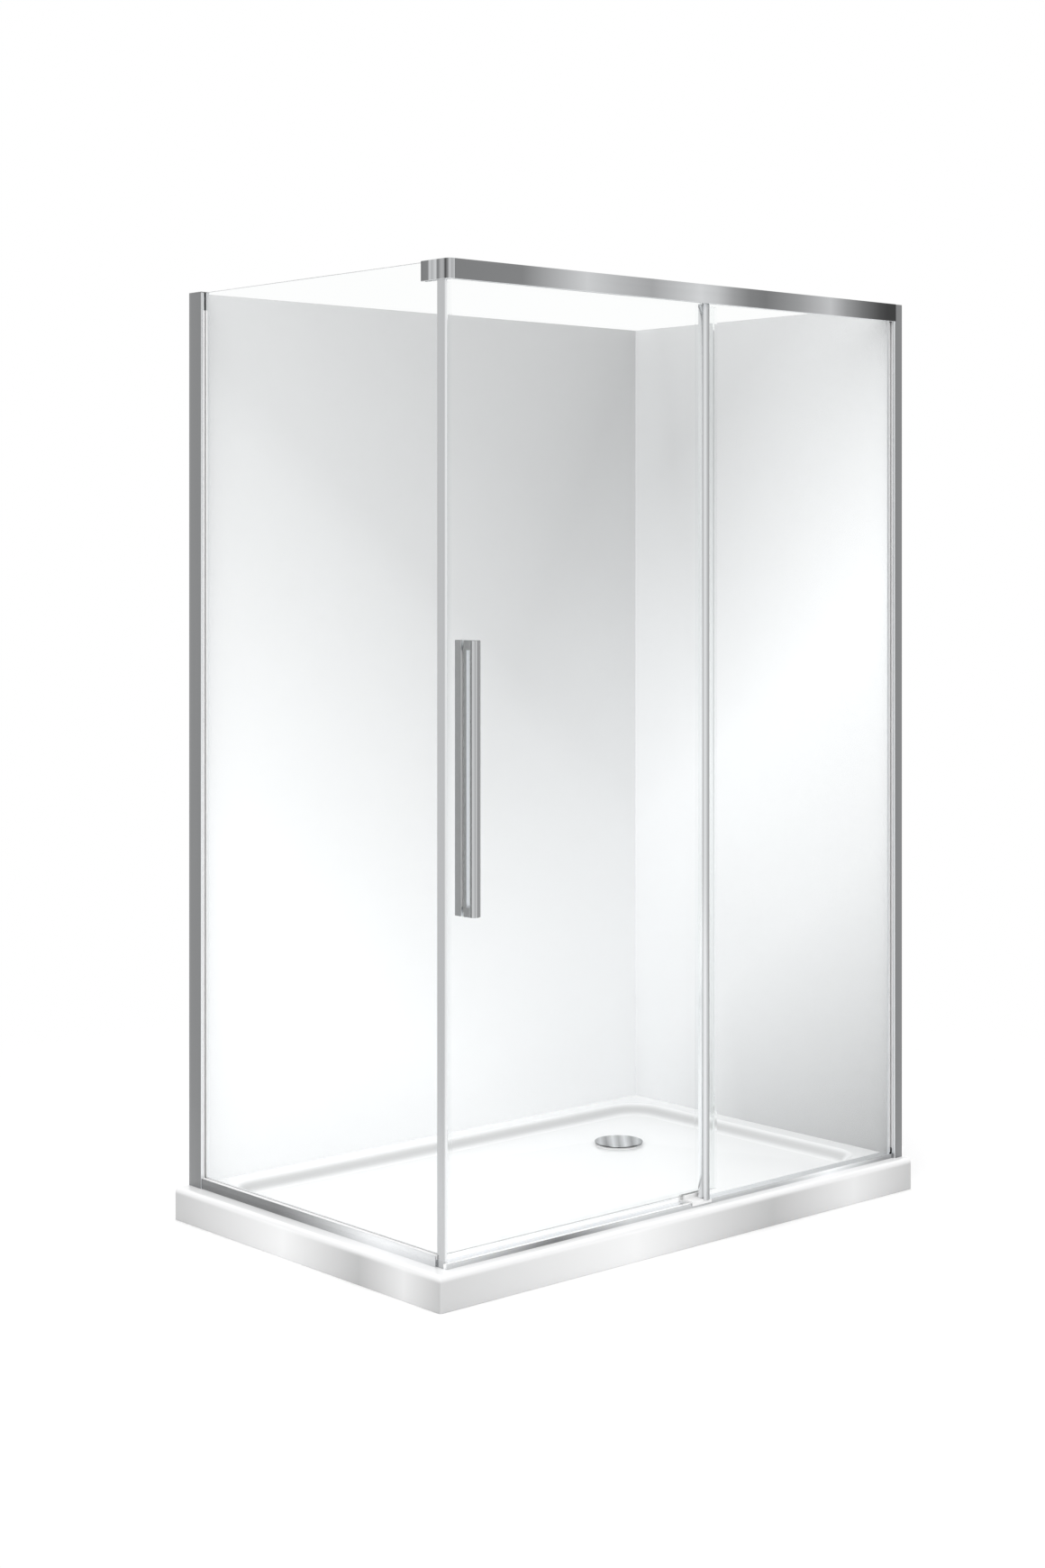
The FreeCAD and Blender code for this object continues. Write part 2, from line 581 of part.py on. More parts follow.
def cover_section(depth):
    """H-section with glazing lips: (distance from the wall, offset across the pane)."""
    half = PROFILE_WIDTH / 2
    inner = half - PROFILE_WALL
    lip = half - PROFILE_LIP
    pocket = depth - PROFILE_WALL
    web = depth - PROFILE_POCKET
    soft = PROFILE_EDGE_RADIUS
    return [
        (0, -half), (depth, -half, soft), (depth, -lip), (pocket, -lip), (pocket, -inner),
        (web, -inner), (web, inner), (pocket, inner), (pocket, lip), (depth, lip),
        (depth, half, soft), (0, half), (0, inner), (web - PROFILE_WALL, inner),
        (web - PROFILE_WALL, -inner), (0, -inner)]


def wall_channel_section(depth):
    """Plain channel, screwed to the wall inside the cover profile."""
    half = PROFILE_WIDTH / 2 - PROFILE_WALL - WALL_CHANNEL_CLEARANCE
    inner = half - PROFILE_WALL
    reach = depth - PROFILE_POCKET - PROFILE_WALL - BUTT_GAP
    return [
        (0, -half), (reach, -half), (reach, -inner), (WALL_CHANNEL_WEB, -inner),
        (WALL_CHANNEL_WEB, inner), (reach, inner), (reach, half), (0, half)]


def wall_gasket_section(depth, side):
    """Barbed gasket between a lip and the pane."""
    lip = PROFILE_WIDTH / 2 - PROFILE_LIP - GASKET_CLEARANCE
    glass = GLASS / 2 + GASKET_CLEARANCE
    behind = depth - PROFILE_WALL - GASKET_CLEARANCE
    deep = depth - GASKET_LENGTH
    proud = depth + GASKET_PROUD
    return [(deep, side * glass), (proud, side * glass), (proud, side * lip), (behind, side * lip),
            (behind, side * (lip + GASKET_BARB)), (deep, side * lip)]


def wall_profile(prefix, depth, turn):
    """Channel, cover profile and gaskets on one wall; turn() maps the section to plan."""
    def turned(section):
        return [turn(*corner[:2]) + corner[2:] for corner in section]

    top = FRAME_TOP - END_CAP
    keep(prefix + "_cover_profile", run_z(turned(cover_section(depth)), RIM_Z, top))
    channel = run_z(turned(wall_channel_section(depth)), RIM_Z, top)
    for z in (RIM_Z + WALL_SCREW_FROM_END, FRAME_TOP - WALL_SCREW_FROM_END):
        start = V(*turn(-OVERCUT, 0), z)
        through = V(*turn(WALL_CHANNEL_WEB + OVERCUT, 0), z).sub(start)
        channel = channel.cut(rod(start, through, WALL_SCREW_RADIUS, through.Length))
    keep(prefix + "_wall_channel", channel)
    keep(prefix + "_wall_gaskets", *[
        run_z(turned(wall_gasket_section(depth, side)), CHANNEL_TOP_Z + BUTT_GAP, RAIL_Z - BUTT_GAP)
        for side in (-1, 1)])
    half = PROFILE_WIDTH / 2
    soft = PROFILE_EDGE_RADIUS
    return run_z(turned([(0, -half), (depth, -half, soft), (depth, half, soft), (0, half)]), top, FRAME_TOP)


def wall_profiles():
    keep("profile_end_caps",
         wall_profile("return", RETURN_PROFILE_DEPTH, lambda u, v: (RETURN_GLASS_X + v, WALL_Y - u)),
         wall_profile("jamb", JAMB_PROFILE_DEPTH, lambda u, v: (WALL_X - u, FIXED_GLASS_Y + v)))


# ---------------------------------------------------------------- return panel
def return_panel():
    half = CHANNEL_WIDTH / 2
    x0, x1 = RETURN_GLASS_X - half, RETURN_GLASS_X + half
    inner0, inner1 = x0 + CHANNEL_WALL, x1 - CHANNEL_WALL
    y0, y1 = EDGE_PROFILE_END_Y + BUTT_GAP, RETURN_PROFILE_Y
    base = RIM_Z + CHANNEL_WEB
    keep("return_bottom_channel", run_y([
        (x0, RIM_Z), (x1, RIM_Z), (x1, CHANNEL_TOP_Z), (inner1, CHANNEL_TOP_Z),
        (inner1, base), (inner0, base), (inner0, CHANNEL_TOP_Z), (x0, CHANNEL_TOP_Z)], y0, y1))

    low = CHANNEL_TOP_Z - CHANNEL_GASKET_DEPTH
    end = y1 - GASKET_PROUD - BUTT_GAP
    strips = []
    for pane_side, wall_side in ((RETURN_OUT_X - GASKET_CLEARANCE, inner0 + GASKET_CLEARANCE),
                                 (RETURN_IN_X + GASKET_CLEARANCE, inner1 - GASKET_CLEARANCE)):
        strips.append(run_y([
            (pane_side, low), (pane_side, CHANNEL_TOP_Z + GASKET_PROUD), (wall_side, CHANNEL_TOP_Z),
            (wall_side, low)], y0, end))
    keep("return_bottom_gaskets", *strips)

    glass_z = base + SETTING_BLOCK
    blocks = []
    for y in (y0 + SETTING_BLOCK_LENGTH, y1 - 2 * SETTING_BLOCK_LENGTH):
        blocks.append(box(inner0 + BUTT_GAP, inner1 - BUTT_GAP, y, y + SETTING_BLOCK_LENGTH, base, glass_z))
    keep("return_setting_blocks", *blocks)
    keep("return_glass", pane(RETURN_OUT_X, RETURN_IN_X, RETURN_FREE_EDGE_Y,
                              RETURN_PROFILE_Y + PANE_INTO_PROFILE, glass_z, FRAME_TOP - END_CAP - BUTT_GAP))


def edge_profile():
    """U-section on the return pane's free edge; its inner leg carries the strike seal."""
    out_x = RETURN_OUT_X - EDGE_SLOT_CLEARANCE
    in_x = RETURN_IN_X + EDGE_SLOT_CLEARANCE
    front, end = EDGE_PROFILE_FRONT_Y, EDGE_PROFILE_END_Y
    slot = RETURN_FREE_EDGE_Y - EDGE_SLOT_CLEARANCE
    soft = EDGE_PROFILE_RADIUS
    body = run_z([
        (EDGE_PROFILE_OUT_X, front, soft), (STRIKE_X, front, soft), (STRIKE_X, end), (in_x, end),
        (in_x, slot), (out_x, slot), (out_x, end), (EDGE_PROFILE_OUT_X, end)], RIM_Z, RAIL_Z)
    strike_y = DOOR_GLASS_Y - STRIKE_WIDTH / 2
    strike_end = strike_y + STRIKE_WIDTH
    strike_z = CHANNEL_TOP_Z + STRIKE_ABOVE_CHANNEL
    wing = box(in_x, STRIKE_X, end - STRIKE_MARGIN, strike_end + STRIKE_MARGIN, strike_z, RAIL_Z)
    keep("return_edge_profile", body.fuse(wing).removeSplitter())
    keep("strike_seal", box(STRIKE_X, STRIKE_X + STRIKE_THICKNESS, strike_y, strike_end,
                            strike_z, RAIL_Z - SEAL_BELOW_RAIL))


# ---------------------------------------------------------------- head rail and bracket
def rail_spigot(x0, x1):
    """Tongue that fills the rail's top chamber."""
    gap = SPIGOT_CLEARANCE
    return box(x0, x1, RAIL_FRONT_Y + RAIL_WALL + gap, POCKET_BACK_Y - gap, CHAMBER_Z + gap, WEB_Z - gap)


def head_rail():
    soft = RAIL_EDGE_RADIUS
    front, back = RAIL_FRONT_Y, RAIL_BACK_Y
    rib0, rib1 = RIB_Y - RAIL_RIB_WIDTH / 2, RIB_Y + RAIL_RIB_WIDTH / 2
    shelf_end = TRACK_WALL_Y + RAIL_SHELF_WIDTH
    skirt_y = back - RAIL_WALL
    skirt_z = FRAME_TOP - RAIL_SKIRT_DROP
    section = [
        (front, RAIL_Z, soft), (POCKET_Y, RAIL_Z), (POCKET_Y, POCKET_TOP_Z),
        (POCKET_BACK_Y, POCKET_TOP_Z), (POCKET_BACK_Y, SHELF_UNDER_Z), (shelf_end, SHELF_UNDER_Z),
        (shelf_end, SHELF_Z), (rib1, SHELF_Z), (rib1, RIB_TOP_Z), (rib0, RIB_TOP_Z), (rib0, SHELF_Z),
        (TRACK_WALL_Y, SHELF_Z), (TRACK_WALL_Y, WEB_Z), (skirt_y, WEB_Z), (skirt_y, skirt_z),
        (back, skirt_z), (back, FRAME_TOP, soft), (front, FRAME_TOP, soft)]
    chamber = rectangle(front + RAIL_WALL, POCKET_BACK_Y, CHAMBER_Z, WEB_Z)
    fascia = rectangle(front + RAIL_WALL, POCKET_Y - RAIL_WALL, RAIL_Z + RAIL_WALL, POCKET_TOP_Z)
    body = run_x(section, RAIL_START_X, RAIL_REAR_END_X, chamber, fascia)
    notch = box(RAIL_END_X, RAIL_REAR_END_X + OVERCUT, front - OVERCUT, LINER_FRONT_Y,
                RAIL_Z - OVERCUT, FRAME_TOP + OVERCUT)
    keep("head_rail", body.cut(notch))
    gap = RAIL_INFILL_CLEARANCE
    keep("rail_infill_strip", box(RAIL_START_X, BAR_SLOT_X - BUTT_GAP, POCKET_Y + gap,
                                  POCKET_BACK_Y - gap, SHELF_UNDER_Z, SHELF_UNDER_Z + RAIL_INFILL_HEIGHT))
    keep("rail_wall_spigot", rail_spigot(RAIL_END_X - SPIGOT_LENGTH, JAMB_X))


def travel_stops():
    """Blocks that straddle the running rib, each with a buffer facing a wheel."""
    left = HANGER_XS[0] - WHEEL_RADIUS - SEAL_GAP - BUFFER_THICKNESS
    right = HANGER_XS[1] + DOOR_TRAVEL + WHEEL_RADIUS + SEAL_GAP + BUFFER_THICKNESS
    y0, y1 = TRACK_WALL_Y + BUTT_GAP, WHEEL_BACK_Y
    saddle = RAIL_RIB_WIDTH / 2 + BUTT_GAP
    crest = RIB_TOP_Z + BUTT_GAP
    top = SHELF_Z + STOP_HEIGHT
    section = [
        (y0, SHELF_Z), (RIB_Y - saddle, SHELF_Z), (RIB_Y - saddle, crest), (RIB_Y + saddle, crest),
        (RIB_Y + saddle, SHELF_Z), (y1, SHELF_Z), (y1, top), (y0, top)]
    keep("travel_stops", run_x(section, left - STOP_LENGTH, left), run_x(section, right, right + STOP_LENGTH))
    gap = BUFFER_INSET
    keep("stop_buffers", *[
        box(x, x + BUFFER_THICKNESS, y0 + gap, y1 - gap, crest + gap, top - gap)
        for x in (left, right - BUFFER_THICKNESS)])


def corner_bracket():
    """Clamp on the return pane that also carries the rail's free end."""
    slot_out = RETURN_OUT_X - BRACKET_SLOT_CLEARANCE
    slot_y = RETURN_FREE_EDGE_Y - BRACKET_SLOT_CLEARANCE
    end = BRACKET_LEG_END_Y
    soft = BRACKET_EDGE_RADIUS
    body = run_z([
        (BRACKET_OUT_X, end, soft), (BRACKET_OUT_X, RAIL_FRONT_Y, BRACKET_CORNER_RADIUS),
        (BRACKET_IN_X, RAIL_FRONT_Y), (BRACKET_IN_X, end, soft), (BRACKET_SLOT_X, end),
        (BRACKET_SLOT_X, slot_y), (slot_out, slot_y), (slot_out, end)], RAIL_Z, FRAME_TOP)
    body = body.fuse(rail_spigot(BRACKET_IN_X - NEAR, RAIL_START_X + SPIGOT_LENGTH))
    mid_z = RAIL_Z + RAIL_HEIGHT / 2
    pad_x = RETURN_IN_X + BRACKET_PAD
    tip = V(pad_x, end - BRACKET_SCREW_INSET, mid_z)
    tapped = rod(tip, ALONG_X, GRUB_SCREW_RADIUS + SCREW_CLEARANCE, BRACKET_INNER_LEG + OVERCUT)
    keep("corner_bracket", body.cut(tapped))
    keep("bracket_grub_screw", rod(tip, ALONG_X, GRUB_SCREW_RADIUS, BRACKET_IN_X - pad_x))
    half = BRACKET_PAD_HEIGHT / 2
    keep("bracket_pressure_pad", box(RETURN_IN_X, pad_x, RAIL_BACK_Y, end - BRACKET_EDGE_RADIUS,
                                     mid_z - half, mid_z + half))


# ---------------------------------------------------------------- fixed pane and sill
def fixed_panel():
    base = RIM_Z + SILL_BASE
    glass_z = base + SETTING_BLOCK
    keep("fixed_glass", pane(FIXED_PANE_X, JAMB_X + PANE_INTO_PROFILE, FIXED_FACE_Y, FIXED_BACK_Y,
                             glass_z, POCKET_TOP_Z - FIXED_PANE_BELOW_POCKET))
    blocks = []
    for x in (FIXED_PANE_X + SETTING_BLOCK_LENGTH, JAMB_X - 2 * SETTING_BLOCK_LENGTH):
        blocks.append(box(x, x + SETTING_BLOCK_LENGTH, SILL_POCKET_Y + BUTT_GAP,
                          SILL_POCKET_BACK_Y - BUTT_GAP, base, glass_z))
    keep("fixed_setting_blocks", *blocks)
    gap = GASKET_CLEARANCE
    keep("rail_glazing_gaskets", *[
        box(FIXED_PANE_X, RAIL_END_X, y0 + gap, y1 - gap, SHELF_UNDER_Z, SHELF_UNDER_Z + CHANNEL_GASKET_DEPTH)
        for y0, y1 in ((POCKET_Y, FIXED_FACE_Y), (FIXED_BACK_Y, POCKET_BACK_Y))])


def upright_bar():
    """Half-round bar on the fixed pane's free edge, with a fin seal towards the door."""
    x0, x1 = BAR_X, BAR_X + BAR_WIDTH
    shoulder = BAR_FRONT_Y + BAR_BULGE
    rear = shoulder + BAR_BACK
    top = RAIL_Z - BUTT_GAP
    corners = [V(x1, shoulder, SILL_TOP_Z), V(x1, rear, SILL_TOP_Z), V(x0, rear, SILL_TOP_Z),
               V(x0, shoulder, SILL_TOP_Z)]
    crown = V((x0 + x1) / 2, BAR_FRONT_Y, SILL_TOP_Z)
    bow = Part.Arc(corners[3], crown, corners[0]).toShape()
    body = Part.Face(Part.Wire([bow] + Part.makePolygon(corners).Edges)).extrude(V(0, 0, top - SILL_TOP_Z))
    gap = EDGE_SLOT_CLEARANCE
    slot = box(BAR_SLOT_X, x1 + OVERCUT, FIXED_FACE_Y - gap, FIXED_BACK_Y + gap,
               SILL_TOP_Z - OVERCUT, top + OVERCUT)
    keep("fixed_edge_profile", body.cut(slot))

    fin0 = x0 + FIN_INSET
    fin1 = fin0 + FIN_THICKNESS
    base = rear + FIN_BASE
    tip = DOOR_FACE_Y - CLIP_WALL - FIN_GAP
    over_guide = SILL_REAR_TOP_Z + GUIDE_HEIGHT + SEAL_GAP
    keep("interpane_seal", run_z([
        (fin0, rear), (fin0 + FIN_BASE_WIDTH, rear), (fin0 + FIN_BASE_WIDTH, base), (fin1, base),
        (fin1, tip), (fin0, tip)], over_guide, RAIL_Z - SEAL_BELOW_RAIL))


def sill():
    base = RIM_Z + SILL_BASE
    pocket_wall = SILL_POCKET_BACK_Y + SILL_WALL
    nose = SILL_BACK_Y - SILL_NOSE_DEPTH
    soft = SILL_EDGE_RADIUS
    section = [
        (SILL_FRONT_Y, RIM_Z), (SILL_FRONT_Y, SILL_TOP_Z, soft), (SILL_POCKET_Y, SILL_TOP_Z),
        (SILL_POCKET_Y, base), (SILL_POCKET_BACK_Y, base), (SILL_POCKET_BACK_Y, SILL_TOP_Z),
        (pocket_wall, SILL_TOP_Z, soft), (pocket_wall, SILL_REAR_TOP_Z), (nose, SILL_REAR_TOP_Z),
        (SILL_BACK_Y, RIM_Z + SILL_NOSE_HEIGHT), (SILL_BACK_Y, RIM_Z)]
    void = rectangle(pocket_wall, nose - SILL_WALL, RIM_Z + SILL_WALL, SILL_REAR_TOP_Z - SILL_WALL)
    left = EDGE_PROFILE_OUT_X
    below, above = RIM_Z - OVERCUT, SILL_TOP_Z + OVERCUT
    beside_profile = box(left - OVERCUT, STRIKE_X + BUTT_GAP, EDGE_PROFILE_FRONT_Y - BUTT_GAP,
                         SILL_BACK_Y + OVERCUT, below, above)
    beside_channel = box(left - OVERCUT, RETURN_GLASS_X + CHANNEL_WIDTH / 2 + BUTT_GAP,
                         EDGE_PROFILE_END_Y, SILL_BACK_Y + OVERCUT, below, above)
    keep("sill_profile", run_x(section, left, JAMB_X, void).cut(beside_profile).cut(beside_channel))
    gap = RAIL_INFILL_CLEARANCE
    strip = box(left, BAR_X - BUTT_GAP, SILL_POCKET_Y + gap, SILL_POCKET_BACK_Y - gap,
                base, SILL_TOP_Z - SILL_INFILL_DROP)
    keep("sill_infill_strip", strip.cut(beside_profile))


def floor_guide():
    """Block at the foot of the bar, with a slot for the door's bottom edge."""
    x0, x1 = GUIDE_X, GUIDE_X + GUIDE_LENGTH
    gap = BUTT_GAP
    over_sill = SILL_TOP_Z + gap
    behind_pocket = SILL_POCKET_BACK_Y + SILL_WALL + gap
    slot0, slot1 = DOOR_GLASS_Y - GUIDE_SLOT / 2, DOOR_GLASS_Y + GUIDE_SLOT / 2
    slot_z = SILL_REAR_TOP_Z + GUIDE_BASE
    top = SILL_REAR_TOP_Z + GUIDE_HEIGHT
    front, inside_front = SILL_FRONT_Y - gap - GUIDE_APRON, SILL_FRONT_Y - gap
    heel, inside_heel = SILL_BACK_Y + gap + GUIDE_APRON, SILL_BACK_Y + gap
    drop = SILL_TOP_Z - GUIDE_APRON_DROP
    cheek = slot0 - GUIDE_CHEEK
    soft = GUIDE_EDGE_RADIUS
    section = [
        (front, drop), (inside_front, drop), (inside_front, over_sill), (behind_pocket, over_sill),
        (behind_pocket, SILL_REAR_TOP_Z), (inside_heel, SILL_REAR_TOP_Z), (inside_heel, RIM_Z + gap),
        (heel, RIM_Z + gap), (heel, top, soft), (slot1, top), (slot1, slot_z), (slot0, slot_z),
        (slot0, top), (cheek, top), (cheek, SILL_TOP_Z + GUIDE_SHOULDER),
        (front, SILL_TOP_Z + GUIDE_SHOULDER, soft)]
    bar_room = box(BAR_X - gap, x1 + OVERCUT, BAR_FRONT_Y - gap, BAR_FRONT_Y + BAR_BULGE + BAR_BACK + gap,
                   SILL_TOP_Z, top + OVERCUT)
    keep("floor_guide", run_x(section, x0, x1).cut(bar_room))


# ---------------------------------------------------------------- sliding door
def door_glass():
    sheet = pane(DOOR_LEADING_X, DOOR_TRAILING_X, DOOR_FACE_Y, DOOR_BACK_Y, DOOR_BOTTOM_Z, DOOR_TOP_Z)
    for z in STUD_ZS:
        start = V(HANDLE_MID_X, DOOR_FACE_Y - OVERCUT, z)
        sheet = sheet.cut(rod(start, ALONG_Y, STUD_RADIUS + STUD_CLEARANCE, GLASS + 2 * OVERCUT))
    keep("door_glass", sheet)


def hangers():
    """Clamps over the glass's top edge; each carries an axle and is tightened from behind."""
    inside = DOOR_FACE_Y - HANGER_LINER
    pad_back = DOOR_BACK_Y + HANGER_PAD
    rear = pad_back + HANGER_PAD_CLEARANCE
    back = rear + HANGER_REAR_CHEEK
    low = DOOR_TOP_Z - HANGER_REACH
    under = DOOR_TOP_Z + HANGER_TOP_LINER
    top = under + HANGER_BRIDGE
    head_y = WHEEL_FRONT_Y - AXLE_CLEARANCE - AXLE_HEAD
    clamps, cushions, pads, screws, axles = [], [], [], [], []
    for middle in HANGER_XS:
        x0, x1 = middle - HANGER_LENGTH / 2, middle + HANGER_LENGTH / 2
        tip = V(middle, pad_back, DOOR_TOP_Z - HANGER_SCREW_DROP)
        tapped = rod(tip, ALONG_Y, GRUB_SCREW_RADIUS + SCREW_CLEARANCE, back - pad_back + OVERCUT)
        head = V(middle, head_y, WHEEL_Z)
        shank = rod(head, ALONG_Y, AXLE_RADIUS, inside - head_y)
        clamp = run_x([
            (HANGER_Y, low), (inside, low), (inside, under), (rear, under), (rear, low), (back, low),
            (back, top), (HANGER_Y, top)], x0, x1)
        clamps.append(clamp.cut(tapped).cut(shank))
        cushions.append(run_x([
            (inside, low), (DOOR_FACE_Y, low), (DOOR_FACE_Y, DOOR_TOP_Z), (DOOR_BACK_Y, DOOR_TOP_Z),
            (DOOR_BACK_Y, under), (inside, under)], x0, x1))
        pads.append(box(x0, x1, DOOR_BACK_Y, pad_back, low, DOOR_TOP_Z))
        screws.append(rod(tip, ALONG_Y, GRUB_SCREW_RADIUS, back - pad_back))
        axles.append(shank.fuse(rod(head, ALONG_Y, AXLE_HEAD_RADIUS, AXLE_HEAD)))
    keep("door_hangers", *clamps)
    keep("hanger_liners", *cushions)
    keep("hanger_pressure_pads", *pads)
    keep("hanger_grub_screws", *screws)
    keep("roller_axles", *axles)


def rollers():
    """Grooved wheels that straddle the running rib."""
    half = WHEEL_WIDTH / 2
    groove = GROOVE_WIDTH / 2
    bore = AXLE_RADIUS + AXLE_CLEARANCE
    section = [
        (bore, -half), (WHEEL_RADIUS, -half), (WHEEL_RADIUS, -groove), (TREAD_RADIUS, -groove),
        (TREAD_RADIUS, groove), (WHEEL_RADIUS, groove), (WHEEL_RADIUS, half), (bore, half)]
    for name, x in zip(("left", "right"), HANGER_XS):
        wheel = spin(section, V(x, RIB_Y, WHEEL_Z), ALONG_Y, lambda a, b: V(x, RIB_Y + b, WHEEL_Z + a))
        keep("roller_wheel_" + name, wheel)


def door_seals():
    near, far = DOOR_FACE_Y - CLIP_CLEARANCE, DOOR_BACK_Y + CLIP_CLEARANCE
    out, back = near - CLIP_WALL, far + CLIP_WALL
    top = RAIL_Z - SEAL_BELOW_RAIL
    mouth = DOOR_LEADING_X - CLIP_CLEARANCE
    leg = DOOR_LEADING_X + LEADING_SEAL_LEG
    head = STRIKE_X + STRIKE_THICKNESS + SEAL_GAP
    keep("door_leading_seal", run_z([
        (head, out), (leg, out), (leg, near), (mouth, near), (mouth, far), (leg, far),
        (leg, back), (head, back)], DOOR_BOTTOM_Z, top))
    mouth = DOOR_TRAILING_X + CLIP_CLEARANCE
    end = DOOR_TRAILING_X - TRAILING_SEAL_LEG
    head = DOOR_TRAILING_X + TRAILING_SEAL_HEAD
    keep("door_trailing_seal", run_z([
        (head, out), (head, back), (end, back), (end, far), (mouth, far), (mouth, near),
        (end, near), (end, out)], DOOR_BOTTOM_Z, top))
    sole = DOOR_BOTTOM_Z - CLIP_CLEARANCE
    leg_z = DOOR_BOTTOM_Z + BOTTOM_SEAL_LEG
    half = WIPER_THICKNESS / 2
    tip = SILL_REAR_TOP_Z + GUIDE_BASE + SEAL_GAP
    keep("door_bottom_seal", run_x([
        (out, leg_z), (out, sole - CLIP_WALL), (DOOR_GLASS_Y - half, sole - CLIP_WALL),
        (DOOR_GLASS_Y - half, tip), (DOOR_GLASS_Y + half, tip), (DOOR_GLASS_Y + half, sole - CLIP_WALL),
        (back, sole - CLIP_WALL), (back, leg_z), (far, leg_z), (far, sole), (near, sole), (near, leg_z)],
        leg + BUTT_GAP, end - BUTT_GAP))


def outer_handle():
    """Bowed grip joined to its base strip by a bridge at each end."""
    x0, x1 = HANDLE_X, HANDLE_X + HANDLE_WIDTH
    z0, z1 = HANDLE_BOTTOM_Z, HANDLE_TOP_Z
    back = DOOR_FACE_Y - HANDLE_GASKET
    gap_back = back - HANDLE_BASE
    gap_front = gap_back - HANDLE_FINGER_GAP
    front = gap_front - HANDLE_GRIP
    shoulder = front + HANDLE_GRIP_BULGE
    corners = [V(x1, shoulder, z0), V(x1, back, z0), V(x0, back, z0), V(x0, shoulder, z0)]
    bow = Part.Arc(corners[3], V(HANDLE_MID_X, front, z0), corners[0]).toShape()
    body = Part.Face(Part.Wire([bow] + Part.makePolygon(corners).Edges)).extrude(V(0, 0, z1 - z0))
    shoulders = [e for e in body.Edges
                 if e.BoundBox.ZLength > NEAR and e.BoundBox.YMax < gap_front]
    body = body.makeFillet(HANDLE_EDGE_RADIUS, shoulders)
    window = box(x0 - OVERCUT, x1 + OVERCUT, gap_front, gap_back, z0 + HANDLE_BRIDGE, z1 - HANDLE_BRIDGE)
    body = body.cut(window)
    for z in STUD_ZS:
        body = body.cut(rod(V(HANDLE_MID_X, back - STUD_INTO_HANDLE, z), ALONG_Y,
                            STUD_RADIUS + SCREW_CLEARANCE, STUD_INTO_HANDLE + OVERCUT))
    keep("outer_handle", body)


def inner_handle():
    """Recessed pull behind the glass, solid at its ends where the studs screw in."""
    x0, x1 = HANDLE_X, HANDLE_X + HANDLE_WIDTH
    z0, z1 = HANDLE_BOTTOM_Z, HANDLE_TOP_Z
    face = DOOR_BACK_Y + HANDLE_GASKET
    back = face + INNER_PULL_DEPTH
    wall = INNER_PULL_WALL
    soft = HANDLE_EDGE_RADIUS
    body = run_z([(x0, face), (x1, face), (x1, back, soft), (x0, back, soft)], z0, z1)
    body = body.cut(box(x0 + wall, x1 - wall, face + INNER_PULL_WEB, back + OVERCUT,
                        z0 + HANDLE_BRIDGE, z1 - HANDLE_BRIDGE))
    for z in STUD_ZS:
        body = body.cut(rod(V(HANDLE_MID_X, face - OVERCUT, z), ALONG_Y,
                            STUD_RADIUS + SCREW_CLEARANCE, STUD_INTO_HANDLE + OVERCUT))
    keep("inner_handle", body)


def handle_fixings():
    outer_face, inner_face = DOOR_FACE_Y - HANDLE_GASKET, DOOR_BACK_Y + HANDLE_GASKET
    start = outer_face - STUD_INTO_HANDLE
    length = inner_face + STUD_INTO_HANDLE - start
    keep("handle_studs", *[
        rod(V(HANDLE_MID_X, start, z), ALONG_Y, STUD_RADIUS, length) for z in STUD_ZS])
    inset = HANDLE_GASKET_INSET
    x0, x1 = HANDLE_X + inset, HANDLE_X + HANDLE_WIDTH - inset
    z0, z1 = HANDLE_BOTTOM_Z + HANDLE_BRIDGE, HANDLE_TOP_Z - HANDLE_BRIDGE
    keep("handle_gaskets", box(x0, x1, outer_face, DOOR_FACE_Y, z0, z1),
         box(x0, x1, DOOR_BACK_Y, inner_face, z0, z1))


def export():
    os.makedirs("parts", exist_ok=True)
    shift = V(-TRAY_WIDTH / 2, -TRAY_DEPTH / 2, 0)
    for name, solids in MODEL.items():
        shape = solids[0] if len(solids) == 1 else Part.makeCompound(solids)
        shape = shape.copy()
        shape.translate(shift)
        shape.exportStep(os.path.join("parts", name + ".step"))


for build in (tray, waste, liners, wall_profiles, return_panel, edge_profile, head_rail,
              travel_stops, corner_bracket, fixed_panel, upright_bar, sill, floor_guide,
              door_glass, hangers, rollers, door_seals, outer_handle, inner_handle, handle_fixings):
    build()
export()
print("wrote", len(MODEL), "nodes")
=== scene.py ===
"""Finished looks of a two-sided shower enclosure with a top-hung sliding door.

Every operator makes one piece, or one group of like pieces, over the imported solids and
gives it its finish. Sections are written in millimetres from the tray's free front
corner, X along the door side, Y along the return panel and Z up, and put() moves them
into the shared frame, in metres.
"""

import json
import math

import bpy
import numpy as np
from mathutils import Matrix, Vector


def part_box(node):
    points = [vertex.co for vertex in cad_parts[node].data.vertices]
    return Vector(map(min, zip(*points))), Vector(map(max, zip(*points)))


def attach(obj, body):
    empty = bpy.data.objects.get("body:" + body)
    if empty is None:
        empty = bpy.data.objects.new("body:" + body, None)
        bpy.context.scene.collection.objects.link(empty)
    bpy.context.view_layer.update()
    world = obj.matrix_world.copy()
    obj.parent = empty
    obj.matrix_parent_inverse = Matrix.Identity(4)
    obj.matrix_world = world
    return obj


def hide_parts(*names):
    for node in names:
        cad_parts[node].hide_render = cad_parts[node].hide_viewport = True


bl_info = {
    "name": "Shower Enclosure Finish",
    "version": (1, 0, 0),
    "blender": (4, 5, 0),
    "location": "3D View > Sidebar > Shower",
    "description": "Makes the finished pieces of a shower enclosure over its solids",
    "category": "Object",
}

